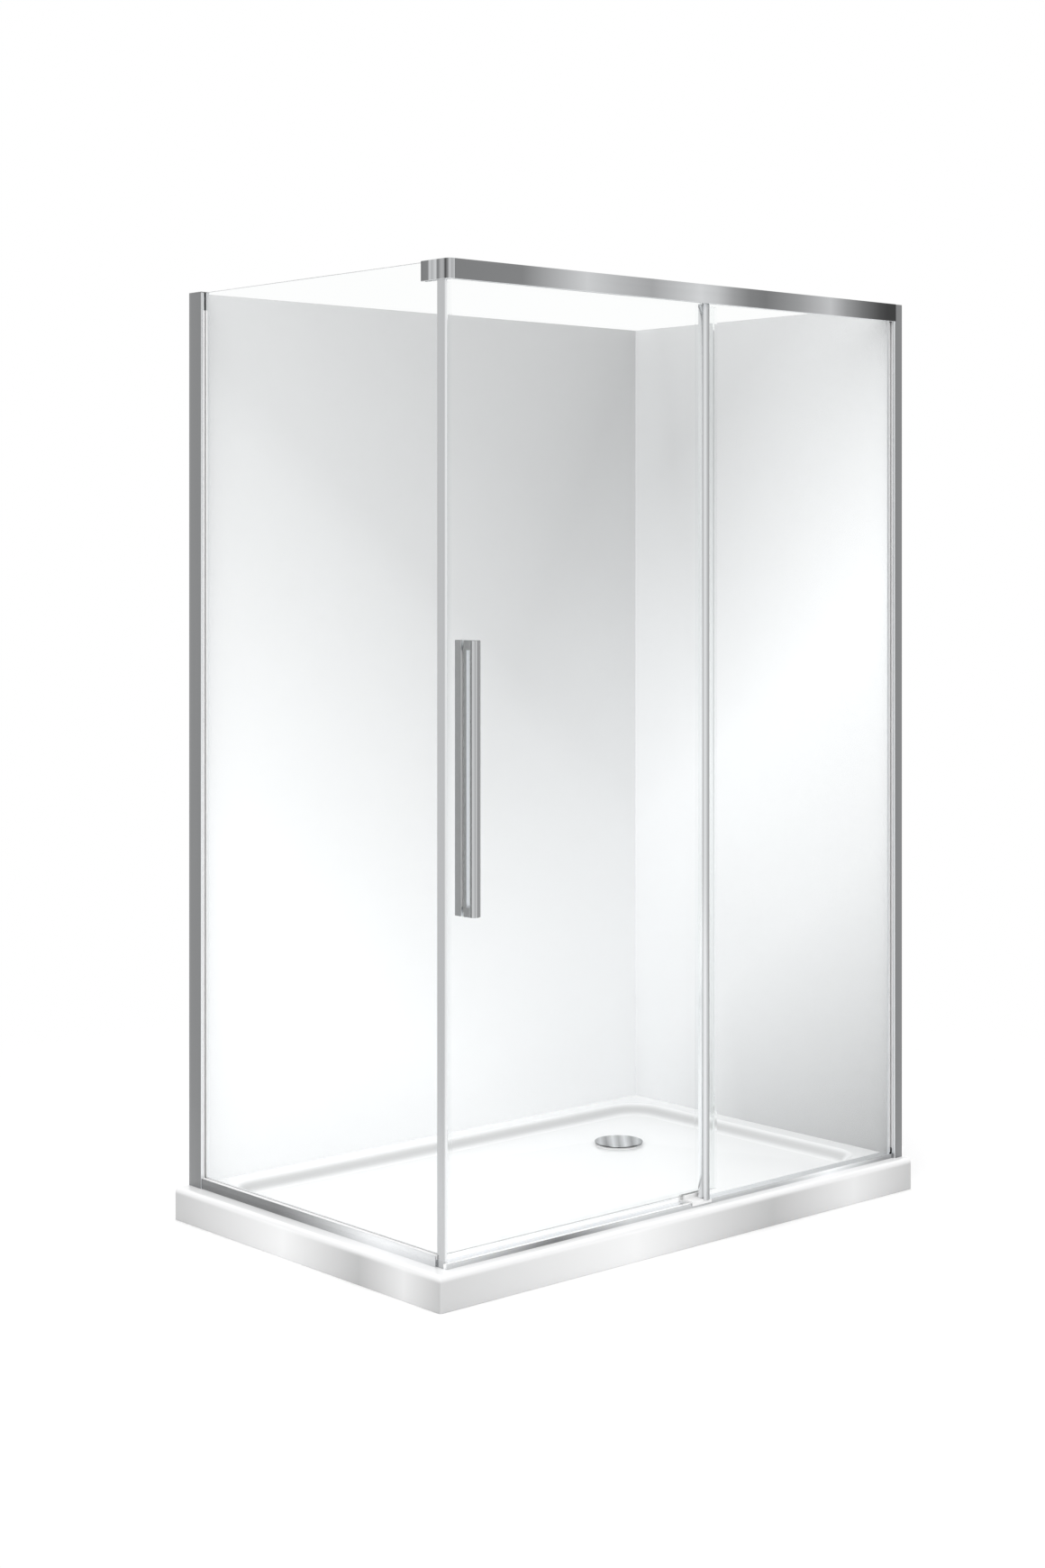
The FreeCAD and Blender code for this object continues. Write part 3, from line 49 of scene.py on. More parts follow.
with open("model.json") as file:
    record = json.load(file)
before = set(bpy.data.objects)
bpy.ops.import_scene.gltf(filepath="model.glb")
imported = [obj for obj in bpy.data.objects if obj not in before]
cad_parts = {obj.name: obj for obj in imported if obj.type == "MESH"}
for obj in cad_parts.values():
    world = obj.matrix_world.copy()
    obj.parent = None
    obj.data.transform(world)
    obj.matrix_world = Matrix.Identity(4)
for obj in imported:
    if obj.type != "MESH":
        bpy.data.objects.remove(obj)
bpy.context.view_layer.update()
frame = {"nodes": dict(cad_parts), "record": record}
CORNER = np.array([*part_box("tray_shell")[0]])
SCREEN = (0.7461, -0.6658, 0.0)      # level line across the corner, square to the photograph's view
AXES = {"X": (1, 2, 0), "Y": (0, 2, 1), "Z": (0, 1, 2)}
ALONG, DEEP, UP = (1.0, 0.0, 0.0), (0.0, 1.0, 0.0), (0.0, 0.0, 1.0)
LEFT, FRONT, DOWN = (-1.0, 0.0, 0.0), (0.0, -1.0, 0.0), (0.0, 0.0, -1.0)
FREE = (-0.7071, -0.7071, 0.0)       # out of the free corner, half left and half front
DRAWN_ALONG, DRAWN_DEEP, DRAWN_UP = (0.02, 1, 1), (1, 0.02, 1), (1, 1, 0.03)    # a grain's stretch
NEUTRAL = (1, 1, 1)
EYE, HEADING = (-3.7114, -4.0607, 1.4463), -41.745   # the camera's place in metres, turn in degrees


# ---------------------------------------------------------------- sizes and colours to change
class EnclosureSizes(bpy.types.PropertyGroup):
    """Sizes of the soft edges and rounds."""
    edge_break: bpy.props.FloatProperty(
        name="Edge break", description="Chamfer on the cut ends of the profiles",
        default=0.0004, min=0.0001, max=0.001, unit="LENGTH")
    tray_roll: bpy.props.FloatProperty(
        name="Tray roll", description="Radius along the tray's two free top edges",
        default=0.010, min=0.002, max=0.014, unit="LENGTH")
    basin_corner: bpy.props.FloatProperty(
        name="Basin corner", description="Plan radius of the basin's corners",
        default=0.090, min=0.060, max=0.150, unit="LENGTH")
    bracket_round: bpy.props.FloatProperty(
        name="Bracket round", description="Radius of the rail bracket's outer corner",
        default=0.013, min=0.004, max=0.016, unit="LENGTH")
    grip_bulge: bpy.props.FloatProperty(
        name="Grip bulge", description="Rise of the handle's bowed front face",
        default=0.0025, min=0.0005, max=0.005, unit="LENGTH")
    round_steps: bpy.props.IntProperty(
        name="Round steps", description="Steps round each soft corner of a profile",
        default=9, min=4, max=24)


class EnclosureColours(bpy.types.PropertyGroup):
    """Colours that the tones of each finish are laid on."""
    acrylic: bpy.props.FloatVectorProperty(
        name="Acrylic", description="White of the tray", subtype="COLOR",
        default=(0.972, 0.975, 0.978), min=0, max=1)
    liner: bpy.props.FloatVectorProperty(
        name="Wall liner", description="White of the wall liners", subtype="COLOR",
        default=(0.985, 0.992, 1.0), min=0, max=1)
    metal: bpy.props.FloatVectorProperty(
        name="Metal", description="Cast of the chrome and the aluminium", subtype="COLOR",
        default=(0.97, 0.985, 1.0), min=0, max=1)
    glass: bpy.props.FloatVectorProperty(
        name="Glass", description="Tint of the toughened glass", subtype="COLOR",
        default=(0.985, 0.993, 0.99), min=0, max=1)
    seal: bpy.props.FloatVectorProperty(
        name="Seals", description="Tint of the clear seals", subtype="COLOR",
        default=(0.985, 0.99, 0.99), min=0, max=1)


class StudioSettings(bpy.types.PropertyGroup):
    """Camera, lamps and floor."""
    dome: bpy.props.FloatProperty(
        name="Dome", description="Level light from all round", default=0.97, min=0, max=2)
    top_lamp: bpy.props.FloatProperty(
        name="Top lamp", description="Power of the wide lamp above", default=89.0,
        min=0, max=2000, unit="POWER")
    floor_reach: bpy.props.FloatProperty(
        name="Floor reach", description="Radius at which the floor has faded out",
        default=2.6, min=1.5, max=6, unit="LENGTH")
    lens: bpy.props.FloatProperty(
        name="Lens", description="Focal length on a 36 mm sensor", default=56.607,
        min=20, max=200, unit="CAMERA")
    shift: bpy.props.FloatProperty(
        name="Shift", description="Vertical shift that frames the part under a level view",
        default=-0.1457, min=-0.5, max=0.5)


# ---------------------------------------------------------------- painted light, shade and reflection tones by place
# Each stop is (millimetres from the free corner, tone from 0 to 255); those of the bracket and of
# the lid are millimetres along SCREEN, about the corner and about the lid's middle. The metals' stops are
# painted reflections; the tray's and the liners' are painted sheen and shade.
# Painted shade: a grey band up the basin's far slopes, dullest half way up, white at ledge and floor.
COVE_PAINTED_SHADE = [(46, 252), (49, 236), (53, 215), (58, 206), (63, 215), (67, 236), (70, 252)]
# Painted reflection bands on the tray's left and front faces, fading to white near the rim.
REFLECTION_BAND_FADE = (56, 70)                 # heights between which the tray's bands give way to white
LEFT_FACE_REFLECTION = [(-4, 180), (110, 222), (252, 178), (505, 234), (905, 186)]
FRONT_FACE_REFLECTION = [(-4, 197), (522, 235), (935, 181), (1202, 226), (1404, 186)]
# Painted sheen and shade falling slantwise across each wall liner, and painted light towards white near
# the walls' corner, where shade falls.
BACK_WAY = (-0.3827, 0.0, -0.4690)
BACK_PAINTED_SHEEN = [(-1530, 188), (-1155, 201), (-930, 213), (-860, 222), (-640, 239), (-400, 254), (-50, 255)]
BACK_CORNER_LIGHT = ((1, 0, -0.5), 400, 1150, 0.55)
SIDE_WAY = (0.0, -0.3604, -0.4583)
SIDE_PAINTED_SHEEN = [(-1240, 211), (-1050, 211), (-660, 254), (-600, 252), (-390, 239), (-40, 187)]
SIDE_CORNER_LIGHT = ((0, 1, -0.15), 500, 800, 0.75)
RAIL_REFLECTION = [(54, 129), (229, 133), (315, 175), (404, 207), (495, 187), (589, 168), (733, 213),
              (782, 198), (832, 160), (883, 131), (934, 122), (1039, 155), (1146, 196), (1201, 154),
              (1256, 117), (1313, 78), (1341, 63), (1369, 62)]
BAR_REFLECTION = [(750, 190), (751.7, 197), (753, 221), (754.3, 227), (755.7, 219), (757.6, 202),
             (759.8, 184), (762.1, 166), (765.3, 180), (772, 202)]
SILL_REFLECTION = [(41, 206), (97, 200), (190, 176), (286, 141), (334, 128), (384, 148), (485, 192),
              (536, 208), (695, 201), (804, 196), (974, 189), (1032, 206), (1092, 229), (1152, 253),
              (1212, 228), (1274, 195), (1337, 160), (1372, 156)]
CHANNEL_REFLECTION = [(53, 206), (99, 219), (211, 236), (269, 232), (328, 211), (388, 189), (448, 168),
                 (510, 147), (573, 129), (852, 128)]
GRIP_REFLECTION = [(106, 205), (107.5, 201), (110, 193), (112, 169), (114.5, 199), (117, 174), (119, 126),
              (121, 154), (123.5, 175), (125.5, 106), (128, 118)]
GRIP_SIDE_REFLECTION = [(27, 165), (30, 130), (33, 126), (36.5, 164), (40, 148), (57, 148)]
BRACKET_REFLECTION = [(-42, 96), (-38, 128), (-27, 130), (-23, 206), (-19, 178), (-11, 208), (-7, 118),
                 (0, 176), (5, 168), (8, 72), (13, 132), (17, 204), (21, 176), (27, 196)]
LID_REFLECTION = [(-58, 150), (-44, 205), (-30, 128), (-14, 232), (0, 160), (14, 236), (30, 140), (44, 214),
             (58, 128)]
LEFT_PROFILE_REFLECTION = [(85, 251), (900, 253), (1200, 245), (1600, 232), (2000, 220)]
BAR_SIDE_REFLECTION = [(85, 253), (300, 245), (420, 237), (800, 249), (1000, 254), (1400, 234), (1650, 225),
          (1800, 222), (1980, 225)]


# ---------------------------------------------------------------- surfaces
def rounded(corners, steps):
    """Closed outline through (a, b) or (a, b, radius) corners.

    A round's middle lies on the corner's bisector, radius / sin(half the corner) from it,
    and its points turn evenly from one side's tangent point to the other's.
    """
    table = np.array([tuple(c) + (0.0,) * (3 - len(c)) for c in corners], float)
    here, radius = table[:, :2], table[:, 2:]
    back = np.roll(here, 1, 0) - here
    ahead = np.roll(here, -1, 0) - here
    back /= np.linalg.norm(back, axis=1, keepdims=True)
    ahead /= np.linalg.norm(ahead, axis=1, keepdims=True)
    half = np.arccos(np.clip((back * ahead).sum(1, keepdims=True), -1, 1)) / 2
    bisector = back + ahead
    bisector /= np.linalg.norm(bisector, axis=1, keepdims=True)
    middle = here + bisector * radius / np.sin(half)
    first = here + back * radius / np.tan(half) - middle
    last = here + ahead * radius / np.tan(half) - middle
    way = np.sign(first[:, 0] * last[:, 1] - first[:, 1] * last[:, 0])[:, None]
    turn = np.linspace(0, 1, steps)[None, :] * (math.pi - 2 * half) * way
    square = np.stack([-first[:, 1], first[:, 0]], 1)
    points = (middle[:, None] + first[:, None] * np.cos(turn)[..., None]
              + square[:, None] * np.sin(turn)[..., None])
    shown = (radius > 0) | (np.arange(steps) == 0)[None, :]
    return points[shown]


def bowed(x0, x1, crown, shoulder, steps):
    """Points along an arc of three points: level shoulders at x0 and x1, and a crown between."""
    half, rise = (x1 - x0) / 2, abs(shoulder - crown)
    radius = (half * half + rise * rise) / (2 * rise)
    reach = math.asin(min(1.0, half / radius))
    angle = np.linspace(-reach, reach, steps)
    way = np.sign(shoulder - crown)
    return np.stack([(x0 + x1) / 2 + radius * np.sin(angle),
                     crown + way * radius * (1 - np.cos(angle))], 1)


def area_of(outline):
    """Signed area of a closed outline: half the sum of its points' cross products."""
    ahead = np.roll(outline, -1, 0)
    return 0.5 * (outline[:, 0] * ahead[:, 1] - outline[:, 1] * ahead[:, 0]).sum()


def drawn_in(outline, inset):
    """The outline moved inwards: each point goes along the mitre of its two sides."""
    side = np.roll(outline, -1, 0) - outline
    side /= np.linalg.norm(side, axis=1, keepdims=True)
    inward = np.stack([-side[:, 1], side[:, 0]], 1) * np.sign(area_of(outline))
    before = np.roll(inward, 1, 0)
    mitre = (before + inward) / (1 + (before * inward).sum(1, keepdims=True))
    return outline + inset * mitre


def carried(outline, axis, start, stop, inset=None):
    """A closed section carried straight along an axis: its points, four-sided faces and two ends.

    Every point of the section keeps its place across the axis while the length runs from
    start to stop; the first and last rings are drawn in, which breaks the edges of both ends.
    """
    inset = mm(sizes().edge_break) if inset is None else inset
    outline = np.asarray(outline, float)
    if (area_of(outline) > 0) == (axis == "Y"):
        outline = outline[::-1]
    drawn = drawn_in(outline, inset)
    count = len(outline)
    across = np.stack([drawn, outline, outline, drawn])
    along = np.array([start, start + inset, stop - inset, stop])
    points = np.empty((4, count, 3))
    points[..., list(AXES[axis][:2])] = across
    points[..., AXES[axis][2]] = along[:, None]
    here = np.arange(count)
    there = np.roll(here, -1)
    band = np.stack([here, there, there + count, here + count], 1)
    quads = (band + count * np.arange(3)[:, None, None]).reshape(-1, 4)
    return points.reshape(-1, 3), quads, [here[::-1], here + 3 * count]


def lofted(rings, closed):
    """A grid of rings: parameter one runs round each ring and parameter two from ring to ring.

    rings is an array (ring, point, 3). Where closed, the last ring joins the first; otherwise
    the first and last rings are ends and get a flat face each.
    """
    many, count = rings.shape[:2]
    here = np.arange(count)
    there = np.roll(here, -1)
    low = np.arange(many if closed else many - 1)[:, None] * count
    high = np.roll(np.arange(many), -1)[:many if closed else many - 1, None] * count
    quads = np.stack([low + here, low + there, high + there, high + here], 2).reshape(-1, 4)
    ends = [] if closed else [here[::-1], here + (many - 1) * count]
    return rings.reshape(-1, 3), quads, ends


def turned(profile, middle, steps):
    """A (radius, height) profile turned once round an upright line through middle."""
    profile = np.asarray(profile, float)
    angle = np.linspace(0, 2 * math.pi, steps, endpoint=False)
    round_it = np.stack([np.cos(angle), np.sin(angle)], 1)
    rings = np.empty((len(profile), steps, 3))
    rings[..., :2] = np.asarray(middle) + profile[:, :1, None] * round_it[None]
    rings[..., 2] = profile[:, 1:]
    return rings


def block(low, high, inset=None):
    """A straight block between two corners, with its upper and lower edges broken."""
    (x0, y0, z0), (x1, y1, z1) = low, high
    return carried([(x0, y0), (x1, y0), (x1, y1), (x0, y1)], "Z", z0, z1, inset)


def plan_rings(table, side_steps, corner_steps):
    """Rounded rectangles in plan, one for each row (x0, x1, y0, y1, r0, r1, r2, r3, z).

    A ring runs anticlockwise: four corner arcs centred a radius inside both sides, and between
    two arcs straight points that divide the side evenly, so that all rings match point by point.
    """
    rows = np.asarray(table, float)
    x0, x1, y0, y1 = rows[:, :4].T
    radius = rows[:, 4:8]
    centre_x = np.stack([x1 - radius[:, 0], x1 - radius[:, 1], x0 + radius[:, 2], x0 + radius[:, 3]], 1)
    centre_y = np.stack([y0 + radius[:, 0], y1 - radius[:, 1], y1 - radius[:, 2], y0 + radius[:, 3]], 1)
    angle = np.radians(np.linspace(-90, 0, corner_steps))[None, :] + np.radians([[0], [90], [180], [270]])
    arcs = np.stack([centre_x[..., None] + radius[..., None] * np.cos(angle),
                     centre_y[..., None] + radius[..., None] * np.sin(angle)], -1)
    share = (np.arange(1, side_steps + 1) / (side_steps + 1))[None, None, :, None]
    ends, starts = arcs[:, :, -1:], np.roll(arcs, -1, 1)[:, :, :1]
    sides = ends + (starts - ends) * share
    flat = np.concatenate([arcs, sides], 2).reshape(len(rows), -1, 2)
    return np.concatenate([flat, np.broadcast_to(rows[:, 8][:, None, None], flat.shape[:2] + (1,))], 2)


def span(node):
    """Lowest and highest corner of a solid, in millimetres from the tray's free corner."""
    low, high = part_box(node)
    return (np.array([*low]) - CORNER) * 1000, (np.array([*high]) - CORNER) * 1000


def mm(value):
    """Metres as millimetres."""
    return value * 1000


def put(name, shells, body, coat, slot, *nodes, crease=32):
    """Make one object of closed shells and let it stand for its solids."""
    old = bpy.data.objects.get(name)
    if old is not None:
        bpy.data.objects.remove(old)
    points, faces, count = [], [], 0
    for shell, quads, ends in shells:
        points.append(shell / 1000 + CORNER)
        faces += (quads + count).tolist() + [(end + count).tolist() for end in ends]
        count += len(shell)
    mesh = bpy.data.meshes.new(name)
    mesh.from_pydata(np.concatenate(points).tolist(), [], faces)
    mesh.materials.append(coat)
    mesh.shade_smooth()
    mesh.set_sharp_from_angle(angle=math.radians(crease))
    if mesh.validate():
        raise RuntimeError(name + " has faults in its mesh")
    piece = bpy.data.objects.new(name, mesh)
    bpy.context.scene.collection.objects.link(piece)
    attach(piece, body)
    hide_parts(*nodes)


# ---------------------------------------------------------------- finishes
def grey(tone, cast):
    """A grey written as it shows, 0 to 255, as a linear colour on a cast."""
    v = tone / 255
    linear = v / 12.92 if v <= 0.04045 else ((v + 0.055) / 1.055) ** 2.4
    return tuple(linear * c for c in cast) + (1,)


class Nodes:
    """A material's node tree, with the few steps that the finishes share."""

    def __init__(self, name):
        old = bpy.data.materials.get(name)
        if old is not None:
            bpy.data.materials.remove(old)
        self.material = bpy.data.materials.new(name)
        self.material.use_nodes = True
        self.tree = self.material.node_tree
        self.tree.nodes.clear()
        self.out = self.add("ShaderNodeOutputMaterial")
        self.place = self.add("ShaderNodeTexCoord").outputs["Object"]

    def add(self, kind, **settings):
        """A new node with its settings."""
        node = self.tree.nodes.new(kind)
        for key, value in settings.items():
            setattr(node, key, value)
        return node

    def join(self, source, target):
        """An output linked to an input."""
        self.tree.links.new(source, target)

    def feed(self, source, socket):
        """A number or colour set on a socket, or a node's output joined to it."""
        if isinstance(source, (int, float, tuple)):
            socket.default_value = source
        else:
            self.join(source, socket)

    def dotted(self, vector, way):
        """A vector's share of a direction."""
        dot = self.add("ShaderNodeVectorMath", operation="DOT_PRODUCT")
        self.join(vector, dot.inputs[0])
        dot.inputs[1].default_value = way
        return dot.outputs["Value"]

    def ranged(self, value, low, high, first=0.0, last=1.0, kind="LINEAR"):
        """A value that runs from first to last while another goes from low to high."""
        reach = self.add("ShaderNodeMapRange", interpolation_type=kind)
        self.join(value, reach.inputs["Value"])
        for name, number in (("From Min", low), ("From Max", high), ("To Min", first), ("To Max", last)):
            reach.inputs[name].default_value = number
        return reach.outputs["Result"]

    def stepped(self, value, low, high):
        """0 to 1, softly, while a value goes from low to high."""
        return self.ranged(value, low, high, kind="SMOOTHSTEP")

    def between(self, share, low, high):
        """A value that runs from low to high with a share."""
        return self.ranged(share, 0, 1, low, high)

    def along(self, way, low, high):
        """0 to 1 along a direction, between two distances in millimetres from the corner."""
        offset = float(np.dot(CORNER, way))
        return self.ranged(self.dotted(self.place, way), low / 1000 + offset, high / 1000 + offset)

    def ramp(self, share, stops, cast):
        """Tones at the given shares, (share, tone) from low to high."""
        ramp = self.add("ShaderNodeValToRGB")
        marks = ramp.color_ramp.elements
        while len(marks) < len(stops):
            marks.new(0.5)
        for mark, (where, tone) in zip(marks, stops):
            mark.position = where
        for mark, (where, tone) in zip(marks, stops):
            mark.color = grey(tone, cast)
        self.join(share, ramp.inputs["Fac"])
        return ramp.outputs["Color"]

    def tones(self, way, stops, cast):
        """Tones laid along a direction; the stops are (millimetres from the corner, tone)."""
        low, high = stops[0][0], stops[-1][0]
        shares = [((d - low) / (high - low), tone) for d, tone in stops]
        return self.ramp(self.along(way, low, high), shares, cast)

    def noise(self, scale, stretch=(1, 1, 1), detail=3.0):
        """Cloudy noise, 0 to 1, stretched along the axes."""
        turn = self.add("ShaderNodeMapping")
        turn.inputs["Scale"].default_value = stretch
        self.join(self.place, turn.inputs["Vector"])
        cloud = self.add("ShaderNodeTexNoise")
        cloud.inputs["Scale"].default_value = scale
        cloud.inputs["Detail"].default_value = detail
        self.join(turn.outputs["Vector"], cloud.inputs["Vector"])
        return cloud.outputs["Fac"]

    def mixed(self, share, first, second, blend="MIX"):
        """Two colours mixed by a share, or one laid on the other."""
        mix = self.add("ShaderNodeMix", data_type="RGBA", blend_type=blend)
        shown = {i.name: i for i in mix.inputs if i.enabled}
        for source, name in ((share, "Factor"), (first, "A"), (second, "B")):
            self.feed(source, shown[name])
        return next(o for o in mix.outputs if o.enabled)

    def layered(self, share, first, second):
        """Two shaders mixed by a share."""
        mix = self.add("ShaderNodeMixShader")
        for source, socket in zip((share, first, second), mix.inputs):
            self.join(source, socket)
        return mix.outputs["Shader"]

    def facing(self, way, low, high):
        """0 to 1, softly, while the cosine of normal and direction goes from low to high."""
        normal = self.add("ShaderNodeNewGeometry").outputs["Normal"]
        return self.stepped(self.dotted(normal, way), low, high)

    def bump(self, height, strength, distance):
        """A normal tilted by a height's slope."""
        bump = self.add("ShaderNodeBump")
        bump.inputs["Strength"].default_value = strength
        bump.inputs["Distance"].default_value = distance
        self.join(height, bump.inputs["Height"])
        return bump.outputs["Normal"]

    def principled(self, colour, roughness, metallic=0.0, normal=None, **plain):
        """The surface's shader; a number is set on its socket and a noise is joined to it."""
        shader = self.add("ShaderNodeBsdfPrincipled")
        shader.inputs["Metallic"].default_value = metallic
        for socket, source in (("Base Color", colour), ("Roughness", roughness), ("Normal", normal)):
            if source is not None:
                self.feed(source, shader.inputs[socket])
        for socket, value in plain.items():
            shader.inputs[socket.replace("_", " ")].default_value = value
        return shader.outputs["BSDF"]

    def done(self, surface):
        """The material, with its surface joined."""
        self.join(surface, self.out.inputs["Surface"])
        return self.material


def cast_of(name):
    """One of the panel's colours."""
    return tuple(getattr(bpy.context.scene.enclosure_colours, name))


def metal(name, tones, way=ALONG, sides=(), roughness=(0.17, 0.21), grain=(1, 1, 1)):
    """Polished metal with tones of painted reflection laid along a direction, and a faint drawn grain.

    tones is a list of (millimetres, tone), a painted reflection. sides lists (direction faced, tones,
    way) for the faces that look elsewhere, whose tones are painted light, shade and reflection; two
    cosines may follow, at which a side's own tones start and hold.
    """
    n = Nodes(name)
    cast = cast_of("metal")
    drawn = n.noise(90.0, grain)
    # painted reflection along the way, and painted light and shade on the faces that look elsewhere
    colour = n.tones(way, tones, cast)
    for faced, own, own_way, *cosines in sides:
        colour = n.mixed(n.facing(faced, *(cosines or (0.45, 0.75))), colour, n.tones(own_way, own, cast))
    worn = n.ramp(drawn, [(0.3, 252), (0.7, 255)], NEUTRAL)
    colour = n.mixed(1.0, colour, worn, "MULTIPLY")
    surface = n.principled(colour, n.between(drawn, *roughness), 1.0, n.bump(drawn, 0.006, 0.0002))
    return n.done(surface)


def moulded(name, light, dark, roughness, scale=60.0, bump=0.08):
    """Moulded plastic or rubber: two close tones in a fine cloud, with a faint texture."""
    n = Nodes(name)
    cloud = n.noise(scale)
    colour = n.ramp(cloud, [(0.3, dark), (0.7, light)], NEUTRAL)
    texture = n.bump(cloud, bump, 0.0004)
    return n.done(n.principled(colour, n.between(cloud, *roughness), 0.0, texture))


def see_through(n, surface):
    """Light that comes by way of dull surfaces and lamps passes straight through."""
    path = n.add("ShaderNodeLightPath")
    either = n.add("ShaderNodeMath", operation="MAXIMUM")
    n.join(path.outputs["Is Shadow Ray"], either.inputs[0])
    n.join(path.outputs["Is Diffuse Ray"], either.inputs[1])
    return n.layered(either.outputs[0], surface, n.add("ShaderNodeBsdfTransparent").outputs["BSDF"])


def glass():
    """Clear toughened glass with a breath of green, a little uneven from rolling."""
    n = Nodes("clear_glass")
    cast = cast_of("glass")
    wave = n.noise(1.6, (1, 1, 0.3), 1.0)
    colour = n.ramp(wave, [(0.2, 255), (0.8, 254)], cast)
    surface = n.principled(colour, 0.0, Transmission_Weight=1.0, IOR=1.12)
    return n.done(see_through(n, surface))


def clear_seal():
    """Clear PVC, barely milky, so that little more than its edges shows."""
    n = Nodes("clear_seal")
    cloud = n.noise(40.0, (1, 1, 0.05))
    colour = n.ramp(cloud, [(0.3, 252), (0.7, 255)], cast_of("seal"))
    surface = n.principled(colour, n.between(cloud, 0.02, 0.06), Transmission_Weight=1.0, IOR=1.02)
    return n.done(see_through(n, surface))


def acrylic():
    """Glossy white acrylic: broad soft bands of painted reflection on the free faces, and a soft grey
    band of painted shade up each slope.

    The free faces take their painted reflection tones by the way they look, and the faces that look away
    take a faint painted shade of 250. The basin's far slopes carry painted shade, dullest half way up,
    and white at the ledge and at the floor.
    """
    n = Nodes("white_acrylic")
    cast = cast_of("acrylic")
    cloud = n.noise(7.0)
    colour = n.ramp(cloud, [(0.3, 254), (0.7, 255)], cast)
    # painted shade up the basin's slopes that face the free corner
    colour = n.mixed(n.facing(FREE, 0.05, 0.3), colour, n.tones(UP, COVE_PAINTED_SHADE, cast))
    # painted reflection bands on the free faces, and a faint painted shade of 250 on the faces that look
    # away
    front, left = n.tones(ALONG, FRONT_FACE_REFLECTION, cast), n.tones(DEEP, LEFT_FACE_REFLECTION, cast)
    reflection_bands = n.mixed(n.facing(LEFT, 0.6, 0.8), front, left)
    reflection_bands = n.mixed(n.facing(FREE, -0.1, 0.1), grey(250, cast), reflection_bands)
    near_rim = n.stepped(n.along(UP, *REFLECTION_BAND_FADE), 0, 1)
    reflection_bands = n.mixed(near_rim, reflection_bands, grey(255, cast))
    colour = n.mixed(n.facing(UP, 0.75, 0.05), colour, reflection_bands)
    fine = n.noise(220.0)
    surface = n.principled(colour, n.between(cloud, 0.16, 0.2), 0.0, n.bump(fine, 0.02, 0.0002),
                           Coat_Weight=0.3, Coat_Roughness=0.08)
    return n.done(surface)


def liner(name, way, stops, painted_light_way, low, high, most):
    """Glossy wall sheet: a broad slanting fall of painted sheen and shade, brightened by painted light
    towards white near the walls' corner.

    The painted light grows from nothing at low to its most at high, in millimetres along its own way.
    """
    n = Nodes(name)
    cast = cast_of("liner")
    fine = n.noise(160.0)
    cloud = n.noise(3.0)
    # painted light near the walls' corner over the slanting painted sheen and shade
    painted_corner_light = n.between(n.along(painted_light_way, low, high), 0, most)
    colour = n.mixed(painted_corner_light, n.tones(way, stops, cast), grey(255, cast))
    colour = n.mixed(1.0, colour, n.ramp(cloud, [(0.3, 254), (0.7, 255)], NEUTRAL), "MULTIPLY")
    surface = n.principled(colour, n.between(fine, 0.3, 0.34), 0.0, n.bump(fine, 0.01, 0.0002),
                           Specular_IOR_Level=0.3)
    return n.done(surface)


def waste_centre():
    """Middle of the waste cover, in millimetres."""
    low, high = span("waste_cover")
    return (low + high) / 2


def even(tone):
    """One tone all along a direction."""
    return [(0, tone), (1000, tone)]


def across_corner(stops, middle=(0, 0, 0)):
    """Stops given about a place, as distances along the level line across the corner."""
    base = float(np.dot(middle, SCREEN))
    return [(d + base, tone) for d, tone in stops]


# ---------------------------------------------------------------- pieces
def sizes():
    """The panel's sizes."""
    return bpy.context.scene.enclosure_sizes


def trough(x0, x1, low, top, wall, web, foot_round, lip_round):
    """Outline of an open channel: two walls on a web, with rounds at the foot and at the lips."""
    left, right, inner = x0 + wall, x1 - wall, low + web
    return rounded([
        (x0, low, foot_round), (x1, low, foot_round), (x1, top, lip_round), (right, top), (right, inner),
        (left, inner), (left, top), (x0, top, lip_round)], sizes().round_steps)


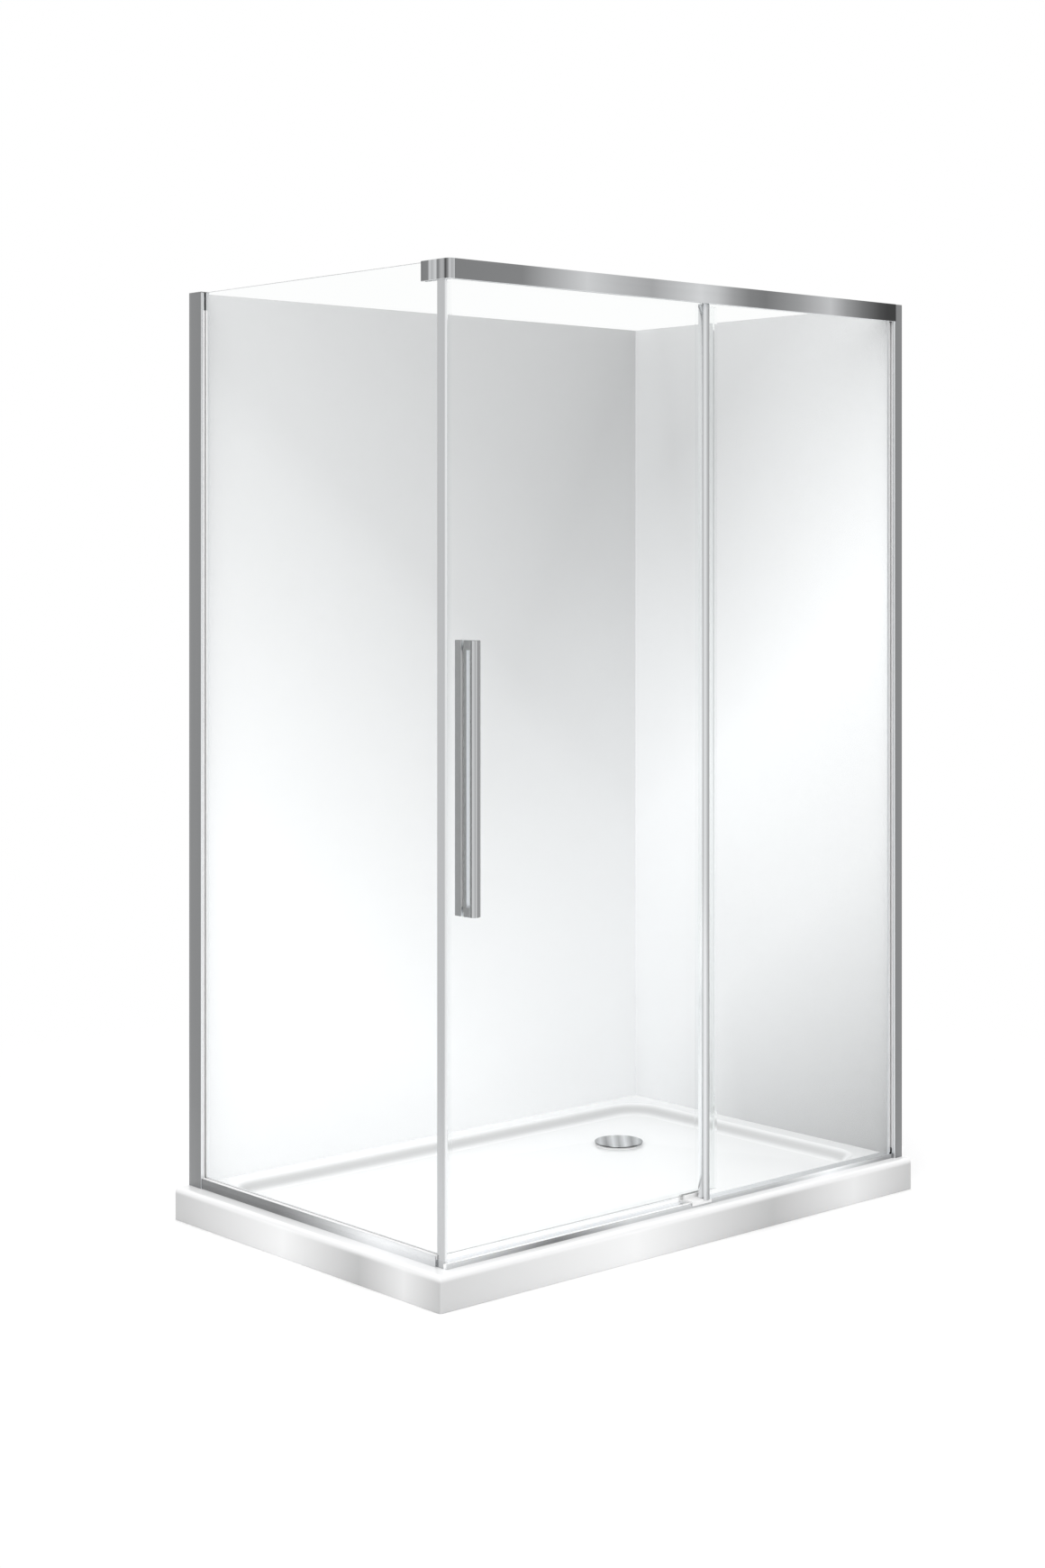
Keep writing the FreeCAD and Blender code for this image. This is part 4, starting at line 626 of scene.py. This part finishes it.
class SHOWER_OT_tray(bpy.types.Operator):
    """Make the tray's skin"""
    bl_idname = "shower.tray"
    bl_label = "Tray"

    def execute(self, context):
        s = sizes()
        width, depth, lip_top = span("tray_shell")[1]
        waste_x, waste_y = waste_centre()[:2]
        rim, floor, seat, skin = 70.0, 46.0, 41.0, 5.0      # seat: the level square round the waste
        roll, corner, free, walled = mm(s.tray_roll), mm(s.basin_corner), 6.0, 0.6
        left, right, front, back = 70, 48, 84, 48           # widths of the ledges
        basin_roll, cove, reach, slope = 12.0, 20.0, 37.2548, math.radians(45)
        level, foot_wall, top_wall = reach + 20, 26.9, 2.9
        seat_half, seat_round, hole = 62, 16, 43

        def inside(inset, height):
            radius = max(corner - inset, 12.0)
            sides = [left + inset, width - right - inset, front + inset, depth - back - inset]
            return sides + [radius] * 4 + [height]

        def about_waste(half, radius, height):
            sides = [waste_x - half, waste_x + half, waste_y - half, waste_y + half]
            return sides + [radius] * 4 + [height]

        rows = [[0, width, 0, depth, walled, walled, walled, free, 0]]
        for angle in np.radians(np.linspace(0, 90, 9)):
            inset = roll * (1 - math.cos(angle))
            rows.append([inset, width, inset, depth, walled, walled, walled, max(free - inset, 0.8),
                         rim - roll + roll * math.sin(angle)])
        lip = 3
        rows.append([roll + lip, width - lip, roll + lip, depth - lip, walled, walled, walled, 1, rim])
        rows.append(inside(-4, rim))
        rows += [inside(basin_roll * math.sin(a), rim - basin_roll * (1 - math.cos(a)))
                 for a in np.linspace(0, slope, 7)]
        rows += [inside(reach - cove * math.sin(a), floor + cove * (1 - math.cos(a)))
                 for a in np.linspace(slope, 0, 9)]
        rows += [
            inside(level, floor),
            about_waste(seat_half, seat_round, seat),
            about_waste(hole, hole, seat),
            about_waste(hole, hole, seat - skin),
            about_waste(seat_half, seat_round, seat - skin),
            inside(level, floor - skin),
            inside(foot_wall, floor - skin),
            inside(top_wall, rim - skin),
            [skin, width - skin, skin, depth - skin, 1, 1, 1, 2, rim - skin],
            [skin, width - skin, skin, depth - skin, 1, 1, 1, 2, 0]]
        shell = lofted(plan_rings(rows, 28, 12), True)
        lip_foot = rim - 0.6
        past_jamb, past_profile = span("jamb_cover_profile")[0][1], span("return_cover_profile")[0][0]
        side_lip = block((width - lip, past_jamb, lip_foot), (width, depth, lip_top))
        back_lip = block((past_profile, depth - lip, lip_foot), (width - lip, depth, lip_top))
        put("tray_skin", [shell, side_lip, back_lip], "frame", acrylic(), "white_acrylic", "tray_shell")
        return {"FINISHED"}


class SHOWER_OT_head_rail(bpy.types.Operator):
    """Make the head rail with its hidden track"""
    bl_idname = "shower.head_rail"
    bl_label = "Head rail"

    def execute(self, context):
        (x0, y0, z0), (x1, y1, z1) = span("head_rail")
        wall, soft = 2.5, 1.5
        pocket, pocket_back, track, rib, shelf_end = y0 + 10, y0 + 22, y0 + 24.5, y0 + 28.1, y0 + 32.7
        pocket_top, under, shelf, rib_top, skirt_foot = z0 + 23.5, z1 - 35, z1 - 32.5, z1 - 28, z1 - 25
        rib_back, tail_front, web, skirt = y0 + 30.1, y0 + 28.3, z1 - wall, y1 - wall
        section = [
            (y0, z0, soft), (pocket, z0), (pocket, pocket_top), (pocket_back, pocket_top),
            (pocket_back, under), (shelf_end, under), (shelf_end, shelf), (rib_back, shelf),
            (rib_back, rib_top), (rib, rib_top), (rib, shelf), (track, shelf), (track, web),
            (skirt, web), (skirt, skirt_foot), (y1, skirt_foot), (y1, z1, soft), (y0, z1, soft)]
        front_end = span("jamb_cover_profile")[0][0] - 0.3
        tail = [(tail_front, web), (skirt, web), (skirt, skirt_foot), (y1, skirt_foot), (y1, z1, soft),
                (tail_front, z1)]
        steps = sizes().round_steps
        shells = [carried(rounded(section, steps), "X", x0, front_end),
                  carried(rounded(tail, steps), "X", front_end - 0.5, x1)]
        # painted reflection along the rail, and a bright underside of painted reflection
        coat = metal("chrome_rail", RAIL_REFLECTION, sides=[(DOWN, even(246), UP)], grain=DRAWN_ALONG)
        put("head_rail_skin", shells, "frame", coat, "polished_aluminium", "head_rail")
        return {"FINISHED"}


class SHOWER_OT_corner_bracket(bpy.types.Operator):
    """Make the rounded corner bracket and its clamp screw"""
    bl_idname = "shower.corner_bracket"
    bl_label = "Corner bracket"

    def execute(self, context):
        (x0, y0, z0), (x1, y1, z1) = span("corner_bracket")
        inside = span("head_rail")[0][0] - 0.6
        slot, slot_back, slot_end = x0 + 4.7, inside - 3.9, 41      # the slot that takes the pane
        outline = rounded([
            (x0, y1, 1.5), (x0, y0, mm(sizes().bracket_round)), (inside, y0, 0.5), (inside, y1, 1.5),
            (slot_back, y1), (slot_back, slot_end), (slot, slot_end), (slot, y1)],
            2 * sizes().round_steps)
        body = carried(outline, "Z", z0, z1, 0.6)
        spigot = block((inside - 1, y0 + 2.7, z0 + 26.2), (x1, y0 + 21.8, z1 - 2.7))
        # painted reflection stripes across the bracket's round, with painted shade on its top and painted
        # light underneath
        reflection_stripes = across_corner(BRACKET_REFLECTION)
        coat = metal("chrome_bracket", reflection_stripes, SCREEN, [(UP, even(190), UP), (DOWN, even(240), UP)],
                     grain=(1, 1, 0.05))
        put("corner_bracket_skin", [body, spigot], "frame", coat, "chrome", "corner_bracket")

        low, high = span("bracket_grub_screw")
        middle = (low + high) / 2
        radius, face = (high[2] - low[2]) / 2, inside + 0.2
        dome, socket, depth = 0.25, 1.35, -0.8
        profile = [(0.01, -1.0), (radius, -1.0), (radius, 0), (radius - 0.5, dome), (socket, dome),
                   (socket - 0.1, depth), (0.01, depth)]
        rings = turned(profile, (0, 0), 24)
        out = rings[..., 2] + face - dome
        screw = lofted(np.stack([out, rings[..., 0] + middle[1], rings[..., 1] + middle[2]], -1), False)
        steel = metal("screw_steel", [(0, 150), (1400, 150)])
        put("bracket_screw_face", [screw], "frame", steel, "steel", "bracket_grub_screw")
        return {"FINISHED"}


class SHOWER_OT_upright_bar(bpy.types.Operator):
    """Make the half-round bar on the fixed pane's edge"""
    bl_idname = "shower.upright_bar"
    bl_label = "Upright bar"

    def execute(self, context):
        (x0, y0, z0), (x1, y1, z1) = span("fixed_edge_profile")
        bow = bowed(x0, x1, y0, y0 + 8, 33)
        slot_end, slot_front, slot_back = x1 - 10, y0 + 6.8, y0 + 13.2
        slot = [(x1, slot_front), (slot_end, slot_front), (slot_end, slot_back), (x1, slot_back),
                (x1, y1), (x0, y1)]
        outline = np.concatenate([bow[:-1], slot])
        # painted reflection stripes across the bar and down its side, with painted shade on its top
        coat = metal("polished_bar", BAR_REFLECTION, grain=DRAWN_UP,
                     sides=[(LEFT, BAR_SIDE_REFLECTION, UP, 0.85, 0.97), (UP, even(200), UP)])
        put("upright_bar_skin", [carried(outline, "Z", z0, z1)], "frame", coat,
            "polished_aluminium", "fixed_edge_profile", crease=50)
        return {"FINISHED"}


BRIDGE_INSIDE, BRIDGE_HEIGHT = 0.05, 19


def bridges(x0, x1, y0, y1, z0, z1):
    """The blocks at the lower and upper end of a handle, just inside its ends."""
    low, high = z0 + BRIDGE_INSIDE, z1 - BRIDGE_INSIDE
    return [block((x0, y0, low), (x1, y1, z0 + BRIDGE_HEIGHT), 0.5),
            block((x0, y0, z1 - BRIDGE_HEIGHT), (x1, y1, high), 0.5)]


class SHOWER_OT_outer_handle(bpy.types.Operator):
    """Make the outer handle: bowed grip, base strip and two bridges"""
    bl_idname = "shower.outer_handle"
    bl_label = "Outer handle"

    def execute(self, context):
        (x0, y0, z0), (x1, y1, z1) = span("outer_handle")
        bulge, soft = mm(sizes().grip_bulge), 0.8
        shoulder, grip_back, base_front = y0 + bulge + 0.9, y0 + 9.7, y1 - 9
        bow = bowed(x0 + soft, x1 - soft, y0, y0 + bulge, 25)
        grip = np.concatenate([bow, [(x1, shoulder), (x1, grip_back), (x0, grip_back), (x0, shoulder)]])
        base = rounded([(x0, base_front), (x1, base_front), (x1, y1), (x0, y1)], 2)
        shells = [carried(grip, "Z", z0, z1, 0.6)] + bridges(
            x0 + BRIDGE_INSIDE, x1 - BRIDGE_INSIDE, y0 + 8.5, y1 - 8, z0, z1)
        # painted reflection stripes on the grip's front and side, and painted shade on its top
        coat = metal("chrome_grip", even(245), sides=[
            (FRONT, GRIP_REFLECTION, ALONG), (LEFT, GRIP_SIDE_REFLECTION, DEEP, 0.8, 0.95), (UP, even(150), UP)],
            grain=DRAWN_UP)
        put("outer_handle_skin", shells, "door", coat, "chrome", "outer_handle")
        # painted light on the base's front, seen in the shaded slot, and painted shade on its side and
        # top
        coat = metal("chrome_base", even(250), sides=[(LEFT, even(148), UP), (UP, even(150), UP)],
                     grain=DRAWN_UP)
        put("handle_base_skin", [carried(base, "Z", z0, z1, 0.5)], "door", coat, "chrome", "outer_handle")
        return {"FINISHED"}


class SHOWER_OT_inner_handle(bpy.types.Operator):
    """Make the recessed inner pull"""
    bl_idname = "shower.inner_handle"
    bl_label = "Inner handle"

    def execute(self, context):
        (x0, y0, z0), (x1, y1, z1) = span("inner_handle")
        channel = trough(x0, x1, y0, y1, 2.5, 3, 0.4, 1.2)
        shells = [carried(channel, "Z", z0, z1, 0.5)] + bridges(x0 + 2, x1 - 2, y0 + 2, y1 - 0.1, z0, z1)
        # painted light on the face that looks front, brightening the shaded notch
        coat = metal("satin_pull", even(155), sides=[(FRONT, even(250), UP)], grain=DRAWN_UP,
                     roughness=(0.28, 0.32))
        put("inner_handle_skin", shells, "door", coat, "chrome", "inner_handle")
        return {"FINISHED"}


class SHOWER_OT_sill(bpy.types.Operator):
    """Make the sill along the door side"""
    bl_idname = "shower.sill"
    bl_label = "Sill"

    def execute(self, context):
        (x0, y0, z0), (x1, y1, z1) = span("sill_profile")
        wall, web, rear = y0 + 2.3, z0 + 2.5, z1 - 2.2
        section = [
            (y0, z0), (y0, z1, 0.8), (wall, z1), (wall, web), (y0 + 9.1, web), (y0 + 9.1, rear),
            (y1 - 5, rear), (y1, z0 + 4), (y1, z0)]
        clear = max(span("return_bottom_channel")[1][0], span("return_edge_profile")[1][0]) + 0.3
        main = carried(rounded(section, sizes().round_steps), "X", clear, x1)
        lead = block((x0, y0 + 1, z0), (clear + 0.5, y0 + 9, web))
        face = block((x0, y0, z0), (clear + 0.5, wall, z1))
        # painted reflection along the sill's front
        coat = metal("sill_metal", even(250), sides=[(FRONT, SILL_REFLECTION, ALONG)], grain=DRAWN_ALONG)
        put("sill_skin", [main, lead, face], "frame", coat, "polished_aluminium", "sill_profile")
        return {"FINISHED"}


PLUGS = ((-5.9, -3.2), (3.2, 5.9))   # beside the pane, where the profile's mouth has no gasket


class SHOWER_OT_wall_profiles(bpy.types.Operator):
    """Make the two wall profiles with the plugs beside the pane in their mouths"""
    bl_idname = "shower.wall_profiles"
    bl_label = "Wall profiles"

    def execute(self, context):
        steps = sizes().round_steps
        half, wall = 12.0, 1.8

        def section(depth):
            pocket, web, mouth, inner = depth - wall, depth - 14, 6, half - wall
            return rounded([
                (0, -half), (depth, -half, 1), (depth, -mouth), (pocket, -mouth), (pocket, -inner),
                (web, -inner), (web, inner), (pocket, inner), (pocket, mouth), (depth, mouth),
                (depth, half, 1), (0, half), (0, inner), (web - wall, inner), (web - wall, -inner),
                (0, -inner)], steps)

        low, high = span("return_cover_profile")
        middle = (low[0] + high[0]) / 2
        flat = section(high[1] - low[1])
        left = carried(np.stack([middle + flat[:, 1], high[1] - flat[:, 0]], 1), "Z", low[2], high[2])
        over = span("return_wall_gaskets")[1][2] + 0.2
        pads = [block((middle + a, low[1] + 0.2, over), (middle + b, low[1] + 4, high[2] - 0.3))
                for a, b in PLUGS]
        # painted reflection on the left profile's faces, along its height and across its side
        side = [(low[1], 134), (low[1] + 4, 137), (high[1] - 8, 139), (high[1], 150)]
        put("return_profile_skin", [left] + pads, "frame",
            metal("left_profile_metal", LEFT_PROFILE_REFLECTION, UP, [(LEFT, side, DEEP), (UP, even(138), UP)],
                  (0.3, 0.33), DRAWN_UP),
            "polished_aluminium", "return_cover_profile")

        low, high = span("jamb_cover_profile")
        middle = (low[1] + high[1]) / 2
        flat = section(high[0] - low[0])
        right = carried(np.stack([high[0] - flat[:, 0], middle + flat[:, 1]], 1), "Z", low[2], high[2])
        foot, under = span("sill_profile")[1][2] + 0.2, span("jamb_wall_gaskets")[0][2] - 0.2
        pads = [block((low[0] + 0.2, middle + a, foot), (low[0] + 4, middle + b, under))
                for a, b in PLUGS]
        # painted reflection on the jamb's front with a dark right edge, and a painted highlight line
        # where its side meets the front
        front = [(low[0], 176), (low[0] + 2, 134), (high[0] - 4, 138), (high[0], 122)]
        side = [(low[1], 250), (low[1] + 2, 248), (low[1] + 3, 206), (high[1] - 2, 212), (high[1], 220)]
        put("jamb_profile_skin", [right] + pads, "frame",
            metal("jamb_profile_metal", even(240), UP,
                  [(FRONT, front, ALONG), (LEFT, side, DEEP), (UP, even(138), UP)],
                  (0.3, 0.33), DRAWN_UP),
            "polished_aluminium", "jamb_cover_profile")
        return {"FINISHED"}


class SHOWER_OT_return_channel(bpy.types.Operator):
    """Make the channel under the return pane"""
    bl_idname = "shower.return_channel"
    bl_label = "Return channel"

    def execute(self, context):
        (x0, y0, z0), (x1, y1, z1) = span("return_bottom_channel")
        section = trough(x0, x1, z0, z1, 2, 3, 0, 0.6)
        # painted reflection along the channel's side, and painted shade on its end face
        coat = metal("channel_metal", even(240), DEEP,
                     [(LEFT, CHANNEL_REFLECTION, DEEP), (FRONT, even(200), UP)], grain=DRAWN_DEEP)
        pane = span("return_glass")[0][0]
        stop = block((x0 + 1.9, y0 + 0.1, z0 + 2.9), (pane - 0.5, y0 + 4, z1 - 0.4))
        put("return_channel_skin", [carried(section, "Y", y0, y1), stop], "frame", coat,
            "polished_aluminium", "return_bottom_channel")
        return {"FINISHED"}


class SHOWER_OT_corner_upright(bpy.types.Operator):
    """Make the upright profile on the return pane's free edge"""
    bl_idname = "shower.corner_upright"
    bl_label = "Corner upright"

    def execute(self, context):
        (x0, y0, z0), (x1, y1, z1) = span("return_edge_profile")
        end = span("return_bottom_channel")[0][1] - 0.3
        wing_z = span("strike_seal")[0][2]
        wall = 1.8
        u = trough(x0, x1, y0, end, wall, wall, 1.2, 0)
        wing = block((x1 - wall, end - 1, wing_z), (x1, y1, z1))
        # painted reflection across the upright's front
        front = [(x0, 190), (x0 + 2.5, 192), (x0 + 5.5, 228), (x1, 240)]
        put("corner_upright_skin", [carried(u, "Z", z0, z1), wing], "frame",
            metal("upright_metal", even(190), UP, [(FRONT, front, ALONG)], grain=DRAWN_UP),
            "polished_aluminium", "return_edge_profile")
        return {"FINISHED"}


class SHOWER_OT_waste_cover(bpy.types.Operator):
    """Make the round waste cover with its four feet"""
    bl_idname = "shower.waste_cover"
    bl_label = "Waste cover"

    def execute(self, context):
        low, high = span("waste_cover")
        middle = waste_centre()
        radius, top = (high[0] - low[0]) / 2, high[2]
        under, feet, half = top - 2.4, 46, 2.5
        profile = [(0.5, under), (radius - 1.2, under), (radius - 0.3, under + 0.4),
                   (radius, under + 1.1), (radius - 0.3, top - 0.6), (radius - 1.2, top - 0.15),
                   (radius - 3, top), (radius * 0.5, top), (0.5, top)]
        shells = [lofted(turned(profile, middle[:2], 96), False)]
        for quarter in range(4):
            angle = math.radians(45 + 90 * quarter)
            x, y = middle[0] + feet * math.cos(angle), middle[1] + feet * math.sin(angle)
            shells.append(block((x - half, y - half, low[2]), (x + half, y + half, under + 0.5)))
        # painted reflection stripes across the lid
        coat = metal("chrome_lid", across_corner(LID_REFLECTION, middle), SCREEN)
        put("waste_cover_skin", shells, "waste_lid", coat, "chrome", "waste_cover")
        return {"FINISHED"}


PLAIN = {
    "white_acrylic": lambda: moulded("white_acrylic_plain", 254, 250, (0.2, 0.3)),
    "bonded_core": lambda: moulded("bonded_core", 214, 196, (0.75, 0.9), 30.0, 0.4),
    # the metals' slight falls of tone along X are painted reflection
    "polished_aluminium": lambda: metal(
        "polished_aluminium", [(0, 176), (1400, 190)], grain=DRAWN_UP),
    "plain_aluminium": lambda: metal("plain_aluminium", [(0, 150), (1400, 162)], roughness=(0.35, 0.5)),
    "chrome": lambda: metal("chrome", [(0, 196), (700, 214), (1400, 190)]),
    "steel": lambda: metal("steel", [(0, 158), (1400, 166)], roughness=(0.25, 0.38)),
    "clear_glass": glass,
    "clear_seal": clear_seal,
    "grey_gasket": lambda: moulded("grey_gasket", 236, 228, (0.6, 0.75), 90.0, 0.15),
    "setting_block": lambda: moulded("setting_block", 214, 204, (0.6, 0.75), 90.0, 0.15),
    "grey_plastic": lambda: moulded("grey_plastic", 188, 178, (0.4, 0.5)),
    "waste_plastic": lambda: moulded("waste_plastic", 236, 226, (0.35, 0.5)),
    "nylon": lambda: moulded("nylon", 232, 220, (0.4, 0.55)),
}


OWN = {
    "back_wall_liner": lambda: liner("back_liner", BACK_WAY, BACK_PAINTED_SHEEN, *BACK_CORNER_LIGHT),
    "side_wall_liner": lambda: liner("side_liner", SIDE_WAY, SIDE_PAINTED_SHEEN, *SIDE_CORNER_LIGHT),
    "floor_guide": lambda: moulded("guide_plastic", 240, 232, (0.3, 0.4)),
    "handle_gaskets": lambda: moulded("handle_gasket", 206, 198, (0.5, 0.6), 90.0, 0.1),
    "jamb_wall_gaskets": lambda: moulded("jamb_gasket", 222, 216, (0.5, 0.6), 90.0, 0.1),
    "profile_end_caps": lambda: moulded("cap_plastic", 142, 136, (0.4, 0.5)),
    "rail_infill_strip": lambda: moulded("rail_infill", 248, 242, (0.4, 0.5)),
    "sill_infill_strip": lambda: moulded("sill_infill", 252, 248, (0.4, 0.5)),
}


class SHOWER_OT_solids(bpy.types.Operator):
    """Give every solid that stays in view its finish"""
    bl_idname = "shower.solids"
    bl_label = "Solids' finishes"

    def execute(self, context):
        slots = {part["node"]: part["material_slot"] for part in frame["record"]["subparts"]}
        kinds, coats = {**PLAIN, **OWN}, {}
        for node, piece in frame["nodes"].items():
            key = node if node in OWN else slots[node]
            if key not in coats:
                coats[key] = kinds[key]()
            coat = coats[key]
            if not piece.material_slots:
                piece.data.materials.append(coat)
            for place in piece.material_slots:
                place.material = coat
        return {"FINISHED"}


class SHOWER_OT_studio(bpy.types.Operator):
    """Set the floor, the lamps, the white surroundings and the camera"""
    bl_idname = "shower.studio"
    bl_label = "Studio"

    def execute(self, context):
        scene = context.scene
        studio = scene.enclosure_studio
        scene.view_settings.view_transform = "Standard"
        self.floor(scene, studio)
        self.surroundings(scene, studio)
        lamp = bpy.data.lights.new("top_lamp", "AREA")
        lamp.shape, lamp.size, lamp.energy = "DISK", 6.0, studio.top_lamp
        lamp_object = bpy.data.objects.new("top_lamp", lamp)
        place, aim = Vector((-1.5, -1.3, 4.4)), Vector((0.1, 0.1, 0.9))
        lamp_object.location = place
        lamp_object.rotation_euler = (aim - place).to_track_quat("-Z", "Y").to_euler()
        lamp_object.visible_glossy = False
        scene.collection.objects.link(lamp_object)
        lens = bpy.data.cameras.new("camera")
        lens.sensor_width, lens.lens, lens.shift_x, lens.shift_y = 36, studio.lens, 0, studio.shift
        lens.clip_start, lens.clip_end = 0.05, 100
        camera = bpy.data.objects.new("camera", lens)
        camera.location = EYE
        camera.rotation_euler = (math.radians(90), 0, math.radians(HEADING))
        scene.collection.objects.link(camera)
        scene.camera = camera
        return {"FINISHED"}

    def floor(self, scene, studio):
        """A pale disc that keeps the shadow near the tray and fades out towards its rim."""
        reach = studio.floor_reach
        level = -0.0004
        rings = turned([(0.001, level), (reach * 0.5, level), (reach, level)], (0, 0), 96)
        points, quads, _ = lofted(rings, False)
        mesh = bpy.data.meshes.new("floor")
        mesh.from_pydata(points.tolist(), [], quads.tolist())
        floor = bpy.data.objects.new("floor", mesh)
        scene.collection.objects.link(floor)
        n = Nodes("pale_floor")
        radial = n.add("ShaderNodeVectorMath", operation="LENGTH")
        n.join(n.place, radial.inputs[0])
        dull = n.add("ShaderNodeBsdfDiffuse")
        dull.inputs["Color"].default_value = (0.985, 0.985, 0.985, 1)
        mesh.materials.append(n.done(n.layered(
            n.stepped(radial.outputs["Value"], reach * 0.42, reach * 0.95), dull.outputs["BSDF"],
            n.add("ShaderNodeBsdfTransparent").outputs["BSDF"])))

    def surroundings(self, scene, studio):
        """White where it is seen, straight, in metal or through glass, and a plain level elsewhere."""
        world = bpy.data.worlds.new("surroundings")
        scene.world = world
        world.use_nodes = True
        world.node_tree.nodes.clear()
        add, join = world.node_tree.nodes.new, world.node_tree.links.new
        path = add("ShaderNodeLightPath")
        seen = path.outputs["Is Camera Ray"]
        for ray in ("Is Glossy Ray", "Is Transmission Ray"):
            either = add("ShaderNodeMath")
            either.operation = "MAXIMUM"
            join(seen, either.inputs[0])
            join(path.outputs[ray], either.inputs[1])
            seen = either.outputs[0]
        mix = add("ShaderNodeMixShader")
        join(seen, mix.inputs["Fac"])
        for place, strength in ((1, studio.dome), (2, 1.0)):
            light = add("ShaderNodeBackground")
            light.inputs["Color"].default_value = (1, 1, 1, 1)
            light.inputs["Strength"].default_value = strength
            join(light.outputs["Background"], mix.inputs[place])
        join(mix.outputs["Shader"], add("ShaderNodeOutputWorld").inputs["Surface"])


PIECES = (SHOWER_OT_solids, SHOWER_OT_tray, SHOWER_OT_wall_profiles, SHOWER_OT_return_channel,
          SHOWER_OT_corner_upright, SHOWER_OT_head_rail, SHOWER_OT_corner_bracket,
          SHOWER_OT_upright_bar, SHOWER_OT_sill, SHOWER_OT_outer_handle, SHOWER_OT_inner_handle,
          SHOWER_OT_waste_cover, SHOWER_OT_studio)
GROUPS = {"enclosure_sizes": EnclosureSizes, "enclosure_colours": EnclosureColours,
          "enclosure_studio": StudioSettings}


class SHOWER_PT_panel(bpy.types.Panel):
    """Buttons for the pieces and the stage"""
    bl_label = "Shower enclosure"
    bl_idname = "SHOWER_PT_panel"
    bl_space_type = "VIEW_3D"
    bl_region_type = "UI"
    bl_category = "Shower"

    def draw(self, context):
        for name in GROUPS:
            group = getattr(context.scene, name)
            column = self.layout.column(align=True)
            for prop in group.__annotations__:
                column.prop(group, prop)
        for piece in PIECES:
            self.layout.operator(piece.bl_idname)


def register():
    for group in GROUPS.values():
        bpy.utils.register_class(group)
    for piece in PIECES + (SHOWER_PT_panel,):
        bpy.utils.register_class(piece)
    for name, group in GROUPS.items():
        setattr(bpy.types.Scene, name, bpy.props.PointerProperty(type=group))


def unregister():
    for name in GROUPS:
        delattr(bpy.types.Scene, name)
    for piece in (SHOWER_PT_panel,) + PIECES[::-1]:
        bpy.utils.unregister_class(piece)
    for group in GROUPS.values():
        bpy.utils.unregister_class(group)


def main():
    """Register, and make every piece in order."""
    register()
    for piece in PIECES:
        family, name = piece.bl_idname.split(".")
        if getattr(getattr(bpy.ops, family), name)() != {"FINISHED"}:
            raise RuntimeError(piece.bl_label + " wasn't finished")
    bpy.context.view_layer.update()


if __name__ == "__main__":
    main()
